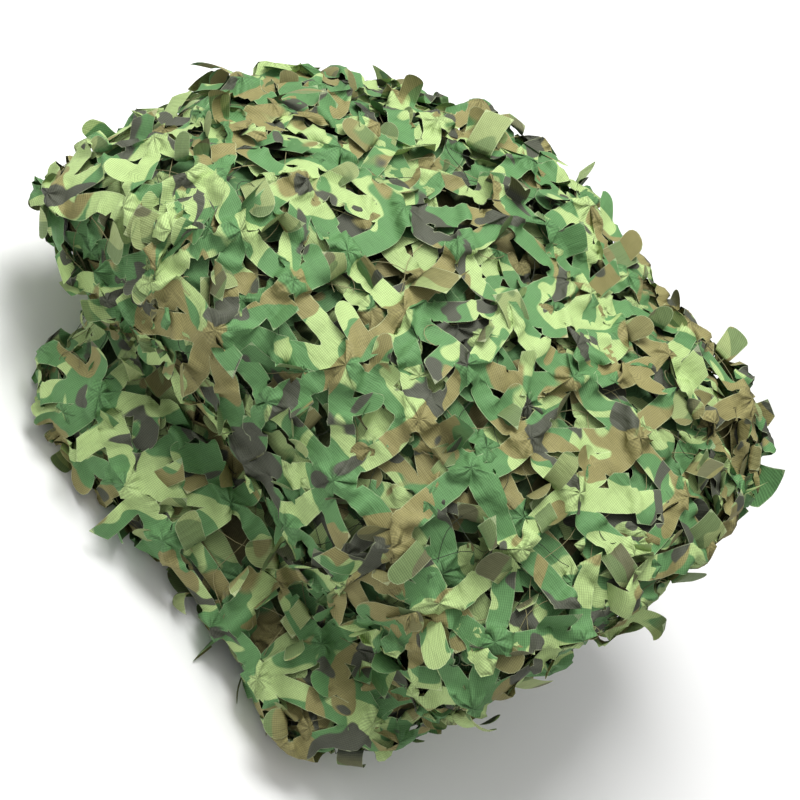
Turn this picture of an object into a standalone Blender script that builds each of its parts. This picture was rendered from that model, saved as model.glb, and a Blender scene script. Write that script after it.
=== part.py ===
"""Camouflage net, folded into a bundle that lies on the floor.

The net is one long sheet: die-cut garnish cloth on a string mesh. It is folded back and forth over
itself, and the last folds are turned in, so that the front shows a low fold below and a thick one above.
Each leg of the section below stands for a bunch of netting pressed together, a little apart from the next.
Leaves of the garnish stand out of the skin all round. Metres, +Z up, front towards -Y, the origin on the
floor below the bundle's middle.
"""

import math
import random

import bmesh
import bpy
from mathutils import Vector
from mathutils.bvhtree import BVHTree

# One pressed bunch of netting, and the air between two bunches.
BUNCH = 0.044
AIR = 0.010
PITCH = BUNCH + AIR
FLOOR_BUNCH = BUNCH / 2

# The legs of the fold in the order in which the sheet runs through them. level counts pitches above the
# floor leg, start and end are the leg's straight stretch along Y, left and right its ends along X.
LEG_COLUMNS = ("name", "level", "start", "end", "left", "right")
LEGS = (
    ("floor", 0, 0.225, -0.190, -0.190, 0.290),
    ("low_fold", 1, -0.190, 0.220, -0.205, 0.345),
    ("saddle", 2, 0.220, -0.105, -0.310, 0.330),
    ("crown", 5, -0.105, 0.220, -0.340, 0.355),
    ("tucked_top", 4, 0.220, -0.095, -0.330, 0.345),
    ("tucked_end", 3, -0.095, 0.210, -0.320, 0.335),
)
LEG_STEP = 0.060
TURN_STEP = 0.028
TURN_STEPS_LEAST = 4

# Stations along X, and how the sheet's edges thin out.
STATIONS = 22
EDGE_THINNING = 0.45
EDGE_STATIONS = 2

# How the whole bundle slumps: its ends draw in, the left one more, and the crown bulges right of the middle.
TOP = 5 * PITCH
LEFT_ROUNDING = 0.24
RIGHT_ROUNDING = 0.02
LEFT_DROP = 0.20
RIGHT_DROP = 0.0
CROWN_RISE = 0.085
CROWN_PEAK = (0.17, 0.10)
CROWN_REACH = (0.50, 0.36)
OVERHANG_START = -0.205
OVERHANG_SAG = 0.30
BACK_LEFT_PULL = 0.22

# Lumps: the length of the wave along X, Y and Z, its phase and its height.
LUMP_COLUMNS = ("along_x", "along_y", "along_z", "phase", "depth")
LUMPS = (
    (0.34, 0.51, 0.80, 0.4, 0.009),
    (-0.19, 0.27, 0.45, 2.1, 0.006),
    (0.13, -0.33, 0.30, 4.0, 0.004),
)

# The garnish leaves: tongues with a round tip and corners with a pointed one.
LEAF_COUNT = 240
LEAF_LENGTH = 0.032
LEAF_WIDTH = 0.80
LEAF_THICKNESS = 0.0045
LEAF_LEAN = 1.3
LEAF_TIPS = (0.55, 0.16)
LEAF_SHOULDER = 0.55
LEAF_SPREAD = (0.85, 1.15)
LEAF_CORNERS = ((-1, -1), (1, -1), (1, 1), (-1, 1))
CLEAR_WAY = 0.050
SEAT_RIM = 0.002
SEAT_LEAST = 0.014
SEAT_LOWEST = 0.022
SEAT_FACES_DOWN = -0.5
LEAF_SEED = 11

GARNISH_COLOUR = (0.24, 0.33, 0.15, 1.0)
GARNISH_ROUGHNESS = 0.85
SHARP_EDGE = 40.0


def clear_scene():
    """Takes every object out of the scene."""
    for old in list(bpy.data.objects):
        bpy.data.objects.remove(old, do_unlink=True)


def new_collection(name):
    """A collection of that name under the scene's own."""
    made = bpy.data.collections.new(name)
    bpy.context.scene.collection.children.link(made)
    return made


def garnish_material():
    """Matt printed polyester cloth."""
    made = bpy.data.materials.new("camouflage_garnish")
    made.use_nodes = True
    shader = made.node_tree.nodes["Principled BSDF"]
    shader.inputs["Base Color"].default_value = GARNISH_COLOUR
    shader.inputs["Roughness"].default_value = GARNISH_ROUGHNESS
    shader.inputs["Metallic"].default_value = 0.0
    made.diffuse_color = GARNISH_COLOUR
    return made


def leg_height(leg):
    """The height of a leg's middle above the floor."""
    return FLOOR_BUNCH + leg["level"] * PITCH


def turn_points(here, after):
    """Points round the turn from one leg to the next: (y, z, share of the way between the two)."""
    low, high = leg_height(here), leg_height(after)
    radius = abs(high - low) / 2
    outward = math.copysign(radius, here["end"] - here["start"])
    shift = after["start"] - here["end"]
    steps = max(TURN_STEPS_LEAST, round(math.pi * radius / TURN_STEP))
    points = []
    for step in range(1, steps):
        share = step / steps
        angle = math.pi * share
        y = here["end"] + shift * share + outward * math.sin(angle)
        z = (low + high) / 2 - (high - low) / 2 * math.cos(angle)
        points.append((y, z, share))
    return points


def fold_path(legs):
    """The section's middle line: (y, z, left, right) for each point, from the floor leg to the tucked end."""
    path = []
    for here, after in zip(legs, legs[1:] + [None]):
        span = here["end"] - here["start"]
        steps = round(abs(span) / LEG_STEP)
        for step in range(steps + 1):
            y = here["start"] + span * step / steps
            path.append((y, leg_height(here), here["left"], here["right"]))
        if after:
            for y, z, share in turn_points(here, after):
                left = here["left"] + (after["left"] - here["left"]) * share
                right = here["right"] + (after["right"] - here["right"]) * share
                path.append((y, z, left, right))
    return path


def folded_surface(path):
    """The middle surface of the folded sheet: a grid bent along the path."""
    grid = bmesh.new()
    bmesh.ops.create_grid(grid, x_segments=STATIONS - 1, y_segments=len(path) - 1, size=0.5)
    for vertex in grid.verts:
        share = vertex.co.x + 0.5
        place = round((vertex.co.y + 0.5) * (len(path) - 1))
        y, z, left, right = path[place]
        vertex.co = (left + (right - left) * share, y, z)
    mesh = bpy.data.meshes.new("folded_net")
    grid.to_mesh(mesh)
    grid.free()
    return mesh


def thickened(surface, path, guides):
    """The surface as one closed solid a bunch thick, and thinner at the sheet's edges."""
    guide = bpy.data.objects.new("fold_guide", surface)
    guides.objects.link(guide)
    guide.display_type = "WIRE"
    guide.hide_render = True
    group = guide.vertex_groups.new(name="fullness")
    for vertex in surface.vertices:
        place, station = divmod(vertex.index, STATIONS)
        inwards = min(place, len(path) - 1 - place, station, STATIONS - 1 - station)
        group.add([vertex.index], min(1.0, inwards / EDGE_STATIONS), "REPLACE")
    solidify = guide.modifiers.new("fullness", "SOLIDIFY")
    solidify.thickness = BUNCH
    solidify.offset = 0.0
    solidify.use_even_offset = True
    solidify.vertex_group = group.name
    solidify.thickness_vertex_group = EDGE_THINNING
    bpy.context.view_layer.update()
    graph = bpy.context.evaluated_depsgraph_get()
    return bpy.data.meshes.new_from_object(guide.evaluated_get(graph))


def eased(value, low, high):
    """0 below low, 1 above high, and a smooth rise between them."""
    share = min(1.0, max(0.0, (value - low) / (high - low)))
    return share * share * (3 - 2 * share)


def hump(away, reach):
    """1 at the middle of a hump, and 0 at its reach and beyond."""
    return 0.5 + 0.5 * math.cos(math.pi * min(1.0, abs(away) / reach))


def lump(x, y, z, turn):
    """The sum of the lump waves at a point; turn shifts them for each axis."""
    total = 0.0
    for row in LUMPS:
        wave = dict(zip(LUMP_COLUMNS, row))
        phase = x / wave["along_x"] + y / wave["along_y"] + z / wave["along_z"]
        total += wave["depth"] * math.sin(math.tau * phase + wave["phase"] + turn)
    return total


def slumped(point, half_length, half_depth):
    """Where a point of the neatly folded bundle goes when the bundle slumps under its own weight."""
    x, y, z = point
    endward = min(1.0, abs(x) / half_length) ** 4
    aloft = eased(z, 0.0, PITCH)
    bulge = hump(x - CROWN_PEAK[0], CROWN_REACH[0]) * hump(y - CROWN_PEAK[1], CROWN_REACH[1])
    y *= 1 - (LEFT_ROUNDING if x < 0 else RIGHT_ROUNDING) * endward
    z *= 1 - (LEFT_DROP if x < 0 else RIGHT_DROP) * endward
    z += CROWN_RISE * bulge * z / TOP
    upper = eased(z, PITCH, 2 * PITCH)
    z -= OVERHANG_SAG * max(0.0, OVERHANG_START - x) * upper
    pull = BACK_LEFT_PULL * eased(y, -0.10, half_depth) * eased(-x, 0.0, half_length)
    moved = Vector((x + pull * half_length * upper, y, z))
    lumps = Vector((lump(x, y, z, 0.0), lump(x, y, z, 2.0), lump(x, y, z, 4.0)))
    return moved + lumps * aloft


def slump(body):
    """Moves every vertex of the folded solid as the bundle slumps, the floor face staying flat."""
    half_length = max(abs(vertex.co.x) for vertex in body.verts)
    half_depth = max(abs(vertex.co.y) for vertex in body.verts)
    for vertex in body.verts:
        vertex.co = slumped(vertex.co, half_length, half_depth)


def leaf_seats(body, chooser):
    """Faces of the skin that can carry a leaf, in a shuffled order."""
    seats = []
    for face in body.faces:
        shortest = min(edge.calc_length() for edge in face.edges)
        low = min(vertex.co.z for vertex in face.verts)
        if shortest > SEAT_LEAST and low > SEAT_LOWEST and face.normal.z > SEAT_FACES_DOWN:
            seats.append(face)
    chooser.shuffle(seats)
    return seats


def leaf_frame(seat, chooser):
    """How a leaf stands on its seat: (first corner, centre, along, across, half width, reach)."""
    turn = chooser.randrange(2)
    corners = [seat.verts[(turn + k) % 4].co for k in range(4)]
    along = (corners[1] + corners[2] - corners[0] - corners[3]).normalized()
    across = seat.normal.cross(along).normalized()
    narrow = min((corners[1] - corners[0]).length, (corners[2] - corners[3]).length)
    lean = across * chooser.uniform(-LEAF_LEAN, LEAF_LEAN)
    reach = (seat.normal + lean).normalized() * LEAF_LENGTH * chooser.uniform(*LEAF_SPREAD)
    return turn, seat.calc_center_median(), along, across, LEAF_WIDTH * narrow / 2, reach


def has_way(tree, centre, along, width, reach, normal):
    """Whether a leaf can stand there: nothing else of the bundle lies in its way."""
    for side in (-width, 0.0, width):
        start = centre + along * side + normal * SEAT_RIM
        for direction in (reach.normalized(), normal):
            if tree.ray_cast(start, direction, CLEAR_WAY)[0] is not None:
                return False
    return True


def raise_leaf(body, seat, frame, tip):
    """Draws one leaf out of a face of the skin: a root, a shoulder and a tip."""
    turn, centre, along, across, width, reach = frame
    rings = ((0.0, 1.0, 1.0), (LEAF_SHOULDER, 1.0, 0.8), (1.0, tip, 0.6))
    bmesh.ops.inset_individual(body, faces=[seat], thickness=SEAT_RIM, use_even_offset=True)
    face = seat
    for height, wide, thick in rings:
        if height:
            face = bmesh.ops.extrude_discrete_faces(body, faces=[face])["faces"][0]
        for corner, (u, v) in enumerate(LEAF_CORNERS):
            place = centre + reach * height + along * (u * width * wide)
            face.verts[(turn + corner) % 4].co = place + across * (v * LEAF_THICKNESS / 2 * thick)


def add_leaves(body):
    """Raises the garnish leaves all over the outer skin, no two of them side by side."""
    chooser = random.Random(LEAF_SEED)
    body.normal_update()
    tree = BVHTree.FromBMesh(body)
    taken, chosen = set(), []
    for seat in leaf_seats(body, chooser):
        frame = leaf_frame(seat, chooser)
        _, centre, along, _, width, reach = frame
        if len(chosen) == LEAF_COUNT:
            break
        if seat not in taken and has_way(tree, centre, along, width, reach, seat.normal):
            chosen.append((seat, frame))
            taken.update(other for corner in seat.verts for other in corner.link_faces)
    for seat, frame in chosen:
        raise_leaf(body, seat, frame, chooser.choice(LEAF_TIPS))


def stand_on_origin(body):
    """Moves the bundle so that the origin is on the floor below the middle of its box."""
    low = Vector(min(v.co[k] for v in body.verts) for k in range(3))
    high = Vector(max(v.co[k] for v in body.verts) for k in range(3))
    middle = (low + high) / 2
    bmesh.ops.translate(body, verts=body.verts, vec=(-middle.x, -middle.y, -low.z))


def folded_net(parts, guides):
    """The folded net as one object."""
    legs = [dict(zip(LEG_COLUMNS, row)) for row in LEGS]
    path = fold_path(legs)
    solid = thickened(folded_surface(path), path, guides)
    body = bmesh.new()
    body.from_mesh(solid)
    bmesh.ops.recalc_face_normals(body, faces=body.faces)
    slump(body)
    add_leaves(body)
    stand_on_origin(body)
    body.to_mesh(solid)
    body.free()
    solid.materials.append(garnish_material())
    solid.shade_smooth()
    solid.set_sharp_from_angle(angle=math.radians(SHARP_EDGE))
    net = bpy.data.objects.new("folded_net", solid)
    parts.objects.link(net)
    return net


def main():
    """Builds the bundle."""
    clear_scene()
    parts = new_collection("camouflage_net")
    guides = new_collection("guides")
    folded_net(parts, guides)


main()
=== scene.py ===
"""Looks of a folded camouflage net: die-cut garnish cloth stitched to a twine net, in a bundle.

The net is one long sheet of printed polyester. J-shaped cuts let it open into zigzag bands with
hanging tongues, and it is stitched every 80 mm to a square net of thin twine. Here it lies folded
back and forth. The cloth is cut and settled flat once, by a small seeded solver, and windows of
it are then laid over the skin of the folded bundle.
"""

from __future__ import annotations

import logging
import math
from dataclasses import dataclass, field
from enum import Enum

import bmesh
import bpy
import numpy as np
from mathutils import Matrix, Vector
from mathutils.bvhtree import BVHTree
from mathutils.geometry import delaunay_2d_cdt
from mathutils.kdtree import KDTree


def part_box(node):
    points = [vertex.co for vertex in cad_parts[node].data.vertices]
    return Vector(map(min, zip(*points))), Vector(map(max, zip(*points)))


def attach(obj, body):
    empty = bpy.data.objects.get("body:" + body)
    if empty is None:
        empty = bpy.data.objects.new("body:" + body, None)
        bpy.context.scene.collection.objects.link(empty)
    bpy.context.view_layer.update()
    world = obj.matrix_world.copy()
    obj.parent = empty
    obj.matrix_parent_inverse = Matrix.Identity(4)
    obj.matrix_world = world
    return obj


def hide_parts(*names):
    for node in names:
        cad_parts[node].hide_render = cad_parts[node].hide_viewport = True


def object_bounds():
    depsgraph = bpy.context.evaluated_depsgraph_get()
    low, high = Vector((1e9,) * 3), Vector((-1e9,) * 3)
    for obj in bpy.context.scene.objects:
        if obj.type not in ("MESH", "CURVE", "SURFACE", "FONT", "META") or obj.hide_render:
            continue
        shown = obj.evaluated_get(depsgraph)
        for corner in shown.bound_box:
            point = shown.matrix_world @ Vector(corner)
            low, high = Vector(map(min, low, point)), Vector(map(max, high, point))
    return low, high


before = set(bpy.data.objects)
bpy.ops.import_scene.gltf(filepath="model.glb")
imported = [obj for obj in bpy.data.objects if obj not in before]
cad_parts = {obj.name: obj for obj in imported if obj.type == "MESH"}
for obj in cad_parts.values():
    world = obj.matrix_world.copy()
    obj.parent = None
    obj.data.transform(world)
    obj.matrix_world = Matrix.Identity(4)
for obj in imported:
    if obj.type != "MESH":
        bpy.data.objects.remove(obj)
CAD_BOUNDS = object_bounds()

BODY = "root"
NODE = "folded_net"
CLOTH_UV = "ClothUV"
STITCH_UV = "StitchUV"
STITCH_GAP = "stitch_gap"
REVERSE = "reverse"
RIM_AND_HIGHLIGHT = "rim_and_highlight"
STITCH_PITCH = 0.080
# A wave texture repeats every 0.314 units at scale 1.
WAVE_REPEAT = 0.314
# A mix node's sockets go by index, since its float and colour sockets share their names.
FLOAT_A, FLOAT_B, COLOUR_A, COLOUR_B, COLOUR_OUT = 2, 3, 6, 7, 2
# Added to a length before it divides, so that a length of zero doesn't fail.
TINY = 1e-9
SPECK = 1e-12
# The depth of a place that a raft doesn't reach, in metres.
OUTSIDE = -1.0

Pair = tuple[float, float]
Way = tuple[float, float, float]
Socket = bpy.types.NodeSocket

log = logging.getLogger("folded_net")


def linear(hex_colour: str) -> tuple[float, float, float, float]:
    """Turn an sRGB hex colour into linear RGBA.

    Args:
        hex_colour: Six hex digits, with or without a leading hash.

    Returns:
        The linear colour with full alpha.
    """
    digits = hex_colour.lstrip("#")
    parts = [int(digits[k:k + 2], 16) / 255 for k in (0, 2, 4)]
    light = [v / 12.92 if v <= 0.04045 else ((v + 0.055) / 1.055) ** 2.4 for v in parts]
    return (*light, 1.0)


def add_node(tree: bpy.types.NodeTree, kind: str, settings: dict | None = None,
             values: dict | None = None, links: dict | None = None) -> bpy.types.Node:
    """Add one shader node with its settings, socket values and incoming links.

    Args:
        tree: The node tree that takes the node.
        kind: The node's type name.
        settings: Properties of the node.
        values: Socket name or index to constant value.
        links: Socket name or index to the output socket that feeds it.

    Returns:
        The new node.
    """
    node = tree.nodes.new(kind)
    for key, value in (settings or {}).items():
        setattr(node, key, value)
    for key, value in (values or {}).items():
        node.inputs[key].default_value = value
    for key, socket in (links or {}).items():
        tree.links.new(socket, node.inputs[key])
    return node


def smooth_noise(places: np.ndarray, wave: float, seed: int, terms: int = 24,
                 spread: Pair = (0.7, 1.6)) -> np.ndarray:
    """Sum sine waves of random heading into an even, repeatable noise.

    Args:
        places: Points in the plane, or in space, one row each.
        wave: The middle wavelength in metres.
        seed: The draw's seed.
        terms: How many waves are summed.
        spread: The shortest and the longest wave, as shares of the middle one.

    Returns:
        One value a point, with a spread of about 1.
    """
    draw = np.random.default_rng(seed)
    total = np.zeros(len(places))
    for _ in range(terms):
        heading = draw.normal(size=places.shape[1])
        heading /= np.linalg.norm(heading)
        turns = math.tau / (wave * draw.uniform(*spread))
        total += np.sin(places @ heading * turns + draw.uniform(0, math.tau))
    return total / math.sqrt(terms / 2)


def unit_rows(rows: np.ndarray) -> np.ndarray:
    """Bring each row to length one."""
    return rows / (np.linalg.norm(rows, axis=1)[:, None] + SPECK)


def points_of(faces: np.ndarray, count: int) -> tuple[np.ndarray, np.ndarray]:
    """List the points that some faces use, and renumber them.

    Args:
        faces: The faces.
        count: How many points there are in all.

    Returns:
        The points that are used, and each old point's new number, or -1 where it is left out.
    """
    used = np.unique(faces)
    renumbered = np.full(count, -1)
    renumbered[used] = np.arange(len(used))
    return used, renumbered


def join(parts: list[tuple[np.ndarray, ...]]) -> list[np.ndarray]:
    """Join meshes into one.

    Args:
        parts: Each mesh's points, its faces, and then anything else with one row a point.

    Returns:
        The same arrays for all of them together.
    """
    starts = np.cumsum([0] + [len(part[0]) for part in parts[:-1]])
    moved = [(points, faces + start, *rest) for (points, faces, *rest), start in zip(parts, starts)]
    return [np.concatenate(column) for column in zip(*moved)]


def start_material(name: str, roughness: float
                   ) -> tuple[bpy.types.Material, bpy.types.NodeTree, bpy.types.Node]:
    """Start a material with one principled shader.

    Args:
        name: The material's name.
        roughness: The shader's roughness.

    Returns:
        The material, its nodes and its shader.
    """
    made = bpy.data.materials.new(name)
    made.use_nodes = True
    shader = made.node_tree.nodes["Principled BSDF"]
    shader.inputs["Roughness"].default_value = roughness
    return made, made.node_tree, shader


# ---------------------------------------------------------------- finishes


@dataclass(frozen=True)
class Blotch:
    """One printed colour: its tone, its patches' size, the level it starts at and its own place."""

    tone: str
    patch: float
    threshold: float
    shift: float


@dataclass(frozen=True)
class GarnishFinish:
    """Polyester ripstop, dyed in the piece and roller printed in four woodland colours on its face.

    The face has a fine square grid of ribs, with painted shade in their grooves and painted light on
    its ridges, and a low sheen. The print doesn't reach the reverse, which stays a dull olive. Hot die
    cutting leaves a thin paler rim along each edge, brightened further as painted highlight. Deeper
    layers take darker copies of the colours, as painted shade.
    """

    name: str
    ground: str = "a3ba79"
    blotches: tuple[Blotch, ...] = (
        Blotch("58824f", 0.075, 0.475, 0.0),
        Blotch("868051", 0.085, 0.570, 7.0),
        Blotch("4c4f42", 0.070, 0.622, 13.0),
    )
    print_edge: float = 0.006
    reverse: str = "73744a"
    reverse_share: float = 0.52
    reverse_from: Pair = (0.35, 0.65)
    # A paler rim along the cut edges: partly the fused edge of the cloth, partly painted highlight where
    # the edge catches the light.
    rim_and_highlight: str = "cfdcae"
    rim_and_highlight_share: float = 0.30
    rim_and_highlight_from: Pair = (0.88, 0.95)
    dye_cloud: float = 0.03
    dye_depth: Pair = (0.86, 1.10)
    # Real ribs are 1 mm apart or less. They are drawn at 1.9 mm, so that they show.
    rib_pitch: float = 0.0019
    # Painted shade in the rib's grooves and painted light on its ridges, as a share of the colour.
    rib_painted_shading: float = 0.24
    rib_height: float = 0.0003
    cross_pitch: float = 1.25
    cross_share: float = 0.30
    wrinkle_size: Pair = (0.007, 0.026)
    wrinkle_turn: float = 0.6
    wrinkle_height: float = 0.0020
    crease_height: float = 0.0024
    crease_from: float = 0.003
    crease_reach: float = 0.030
    crease_turns: float = 7.0
    crease_drift: float = 14.0
    drift_size: float = 0.04
    roughness: float = 0.72
    gloss: float = 0.35
    # Darkens the whole colour: painted shade for the deeper layers.
    painted_shade: float = 1.0

    def material(self) -> bpy.types.Material:
        """Build the printed cloth material.

        Returns:
            The material.
        """
        made, tree, shader = start_material(self.name, self.roughness)
        shader.inputs["Specular IOR Level"].default_value = self.gloss
        place = add_node(tree, "ShaderNodeUVMap", {"uv_map": CLOTH_UV}).outputs[0]
        colour = self._reverse(tree, self._print(tree, place))
        rib = self._rib(tree, place)
        tree.links.new(self._dyed_and_shaded(tree, place, rib, colour), shader.inputs["Base Color"])
        tree.links.new(self._relief(tree, place, rib), shader.inputs["Normal"])
        return made

    def _print(self, tree: bpy.types.NodeTree, place: Socket) -> Socket:
        """Lay the woodland blotches over the ground colour.

        Args:
            tree: The material's nodes.
            place: The cloth coordinates, in metres.

        Returns:
            The printed colour.
        """
        colour = None
        for blotch in self.blotches:
            moved = add_node(tree, "ShaderNodeMapping", values={
                "Location": (blotch.shift, blotch.shift * 0.7, 0.0)}, links={"Vector": place})
            patches = add_node(tree, "ShaderNodeTexNoise", values={
                "Scale": 1 / blotch.patch, "Detail": 1.0, "Distortion": 0.8},
                links={"Vector": moved.outputs[0]})
            share = add_node(tree, "ShaderNodeMapRange", values={
                "From Min": blotch.threshold - self.print_edge,
                "From Max": blotch.threshold + self.print_edge}, links={"Value": patches.outputs["Fac"]})
            layer = add_node(tree, "ShaderNodeMix", {"data_type": "RGBA"}, values={
                COLOUR_B: linear(blotch.tone)}, links={0: share.outputs[0]})
            if colour is None:
                layer.inputs[COLOUR_A].default_value = linear(self.ground)
            else:
                tree.links.new(colour, layer.inputs[COLOUR_A])
            colour = layer.outputs[COLOUR_OUT]
        return colour

    def _reverse(self, tree: bpy.types.NodeTree, colour: Socket) -> Socket:
        """Dull the print where the reverse shows, and pale it along the cut edges, partly as painted
        highlight.

        Args:
            tree: The material's nodes.
            colour: The printed colour.

        Returns:
            The colour with reverse and rims.
        """
        for mark, (low, high), most, tone in (
                (REVERSE, self.reverse_from, self.reverse_share, self.reverse),
                (RIM_AND_HIGHLIGHT, self.rim_and_highlight_from, self.rim_and_highlight_share, self.rim_and_highlight)):
            marked = add_node(tree, "ShaderNodeAttribute", {"attribute_name": mark})
            share = add_node(tree, "ShaderNodeMapRange", values={
                "From Min": low, "From Max": high, "To Max": most}, links={"Value": marked.outputs["Fac"]})
            mixed = add_node(tree, "ShaderNodeMix", {"data_type": "RGBA"},
                             values={COLOUR_B: linear(tone)}, links={0: share.outputs[0], COLOUR_A: colour})
            colour = mixed.outputs[COLOUR_OUT]
        return colour

    def _dyed_and_shaded(self, tree: bpy.types.NodeTree, place: Socket, rib: Socket, colour: Socket) -> Socket:
        """Vary the depth of the dye over the cloth, paint shade into the rib's grooves and light onto its
        ridges, and darken it all by the layer's painted shade.

        Args:
            tree: The material's nodes.
            place: The cloth coordinates, in metres.
            rib: The rib's height.
            colour: The colour so far.

        Returns:
            The varied colour.
        """
        pale, deep = self.dye_depth
        cloud = add_node(tree, "ShaderNodeTexNoise", values={
            "Scale": 1 / self.dye_cloud, "Detail": 6.0, "Roughness": 0.80}, links={"Vector": place})
        # The dye's depth, scaled down by the layer's painted shade.
        depth = add_node(tree, "ShaderNodeMapRange", values={
            "From Min": 0.3, "From Max": 0.7, "To Min": pale * self.painted_shade, "To Max": deep * self.painted_shade},
            links={"Value": cloud.outputs["Fac"]})
        # Painted shade in the rib's grooves and painted light on its ridges.
        painted_rib_shading = add_node(tree, "ShaderNodeMapRange", values={
            "To Min": 1 - self.rib_painted_shading, "To Max": 1 + self.rib_painted_shading}, links={"Value": rib})
        both = add_node(tree, "ShaderNodeMath", {"operation": "MULTIPLY"},
                        links={0: depth.outputs[0], 1: painted_rib_shading.outputs[0]})
        varied = add_node(tree, "ShaderNodeVectorMath", {"operation": "SCALE"},
                          links={0: colour, "Scale": both.outputs[0]})
        return varied.outputs[0]

    def _rib(self, tree: bpy.types.NodeTree, place: Socket) -> Socket:
        """Weave the fine rib, with a weaker cross thread.

        Args:
            tree: The material's nodes.
            place: The cloth coordinates, in metres.

        Returns:
            The rib's height, from 0 to 1.
        """
        heights = []
        for heading, pitch in (("X", self.rib_pitch), ("Y", self.rib_pitch * self.cross_pitch)):
            wave = add_node(tree, "ShaderNodeTexWave", {"bands_direction": heading}, values={
                "Scale": WAVE_REPEAT / pitch, "Distortion": 0.9, "Detail": 1.0}, links={"Vector": place})
            heights.append(wave.outputs["Fac"])
        return add_node(tree, "ShaderNodeMix", {"data_type": "FLOAT"}, values={0: self.cross_share},
                        links={FLOAT_A: heights[0], FLOAT_B: heights[1]}).outputs[0]

    def _relief(self, tree: bpy.types.NodeTree, place: Socket, rib: Socket) -> Socket:
        """Raise the rib, fine wrinkles and the creases that fan out from each stitch.

        Args:
            tree: The material's nodes.
            place: The cloth coordinates, in metres.
            rib: The rib's height.

        Returns:
            The bumped normal.
        """
        across, along = self.wrinkle_size
        low = add_node(tree, "ShaderNodeBump", values={"Strength": 0.45, "Distance": self.rib_height},
                       links={"Height": rib})
        drawn = add_node(tree, "ShaderNodeMapping", values={
            "Rotation": (0, 0, self.wrinkle_turn), "Scale": (1 / across, 1 / along, 1)},
            links={"Vector": place})
        wrinkle = add_node(tree, "ShaderNodeTexNoise", values={
            "Scale": 1.0, "Detail": 2.0, "Distortion": 0.5}, links={"Vector": drawn.outputs[0]})
        middle = add_node(tree, "ShaderNodeBump", values={
            "Strength": 0.75, "Distance": self.wrinkle_height},
            links={"Height": wrinkle.outputs["Fac"], "Normal": low.outputs[0]})
        high = add_node(tree, "ShaderNodeBump", values={
            "Strength": 0.6, "Distance": self.crease_height},
            links={"Height": self._fan(tree, place), "Normal": middle.outputs[0]})
        return high.outputs[0]

    def _fan(self, tree: bpy.types.NodeTree, place: Socket) -> Socket:
        """Fan creases out from the nearest stitch and fade them with distance.

        Args:
            tree: The material's nodes.
            place: The cloth coordinates, in metres.

        Returns:
            The creases' height.
        """
        offset = add_node(tree, "ShaderNodeUVMap", {"uv_map": STITCH_UV}).outputs[0]
        parts = add_node(tree, "ShaderNodeSeparateXYZ", links={0: offset})
        angle = add_node(tree, "ShaderNodeMath", {"operation": "ARCTAN2"},
                         links={0: parts.outputs[1], 1: parts.outputs[0]})
        drift = add_node(tree, "ShaderNodeTexNoise", values={"Scale": 1 / self.drift_size},
                         links={"Vector": place})
        turned = add_node(tree, "ShaderNodeMath", {"operation": "MULTIPLY_ADD"},
                          values={1: self.crease_drift}, links={0: drift.outputs["Fac"]})
        spun = add_node(tree, "ShaderNodeMath", {"operation": "MULTIPLY_ADD"},
                        values={1: self.crease_turns}, links={0: angle.outputs[0], 2: turned.outputs[0]})
        ridge = add_node(tree, "ShaderNodeMath", {"operation": "SINE"}, links={0: spun.outputs[0]})
        far = add_node(tree, "ShaderNodeAttribute", {"attribute_name": STITCH_GAP})
        fade = add_node(tree, "ShaderNodeMapRange", {"interpolation_type": "SMOOTHSTEP"}, values={
            "From Min": self.crease_from, "From Max": self.crease_reach, "To Min": 1.0, "To Max": 0.0},
            links={"Value": far.outputs["Fac"]})
        return add_node(tree, "ShaderNodeMath", {"operation": "MULTIPLY"},
                        links={0: ridge.outputs[0], 1: fade.outputs[0]}).outputs[0]


@dataclass(frozen=True)
class TwineFinish:
    """Twisted polyester twine, solution dyed tan and dark green: matt, with a fine spiral."""

    name: str = "twisted_twine"
    tones: tuple[str, str] = ("9a9367", "1f2b20")
    spiral_size: float = 0.0096
    strand_height: float = 0.0003
    roughness: float = 0.8

    def material(self) -> bpy.types.Material:
        """Build the twine material.

        Returns:
            The material.
        """
        made, tree, shader = start_material(self.name, self.roughness)
        place = add_node(tree, "ShaderNodeUVMap", {"uv_map": CLOTH_UV}).outputs[0]
        tone = add_node(tree, "ShaderNodeAttribute", {"attribute_name": REVERSE})
        spiral = add_node(tree, "ShaderNodeTexWave", {"bands_direction": "DIAGONAL"}, values={
            "Scale": 1 / self.spiral_size}, links={"Vector": place})
        mixed = add_node(tree, "ShaderNodeMix", {"data_type": "RGBA"}, values={
            COLOUR_A: linear(self.tones[0]), COLOUR_B: linear(self.tones[1])},
            links={0: tone.outputs["Fac"]})
        tree.links.new(mixed.outputs[COLOUR_OUT], shader.inputs["Base Color"])
        bump = add_node(tree, "ShaderNodeBump", values={"Strength": 0.5, "Distance": self.strand_height},
                        links={"Height": spiral.outputs["Fac"]})
        tree.links.new(bump.outputs[0], shader.inputs["Normal"])
        return made


@dataclass(frozen=True)
class StageFinish:
    """Heavy uncoated white paper: matt, with a faint tooth."""

    name: str = "paper_sweep"
    tone: str = "f6f6f5"
    tooth: float = 0.0025
    roughness: float = 0.9

    def material(self) -> bpy.types.Material:
        """Build the sweep's material.

        Returns:
            The material.
        """
        made, tree, shader = start_material(self.name, self.roughness)
        shader.inputs["Base Color"].default_value = linear(self.tone)
        place = add_node(tree, "ShaderNodeTexCoord").outputs["Object"]
        fibre = add_node(tree, "ShaderNodeTexNoise", values={"Scale": 1 / self.tooth},
                         links={"Vector": place})
        bump = add_node(tree, "ShaderNodeBump", values={"Strength": 0.02},
                        links={"Height": fibre.outputs["Fac"]})
        tree.links.new(bump.outputs[0], shader.inputs["Normal"])
        return made


# ---------------------------------------------------------------- cutting and settling the cloth


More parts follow.
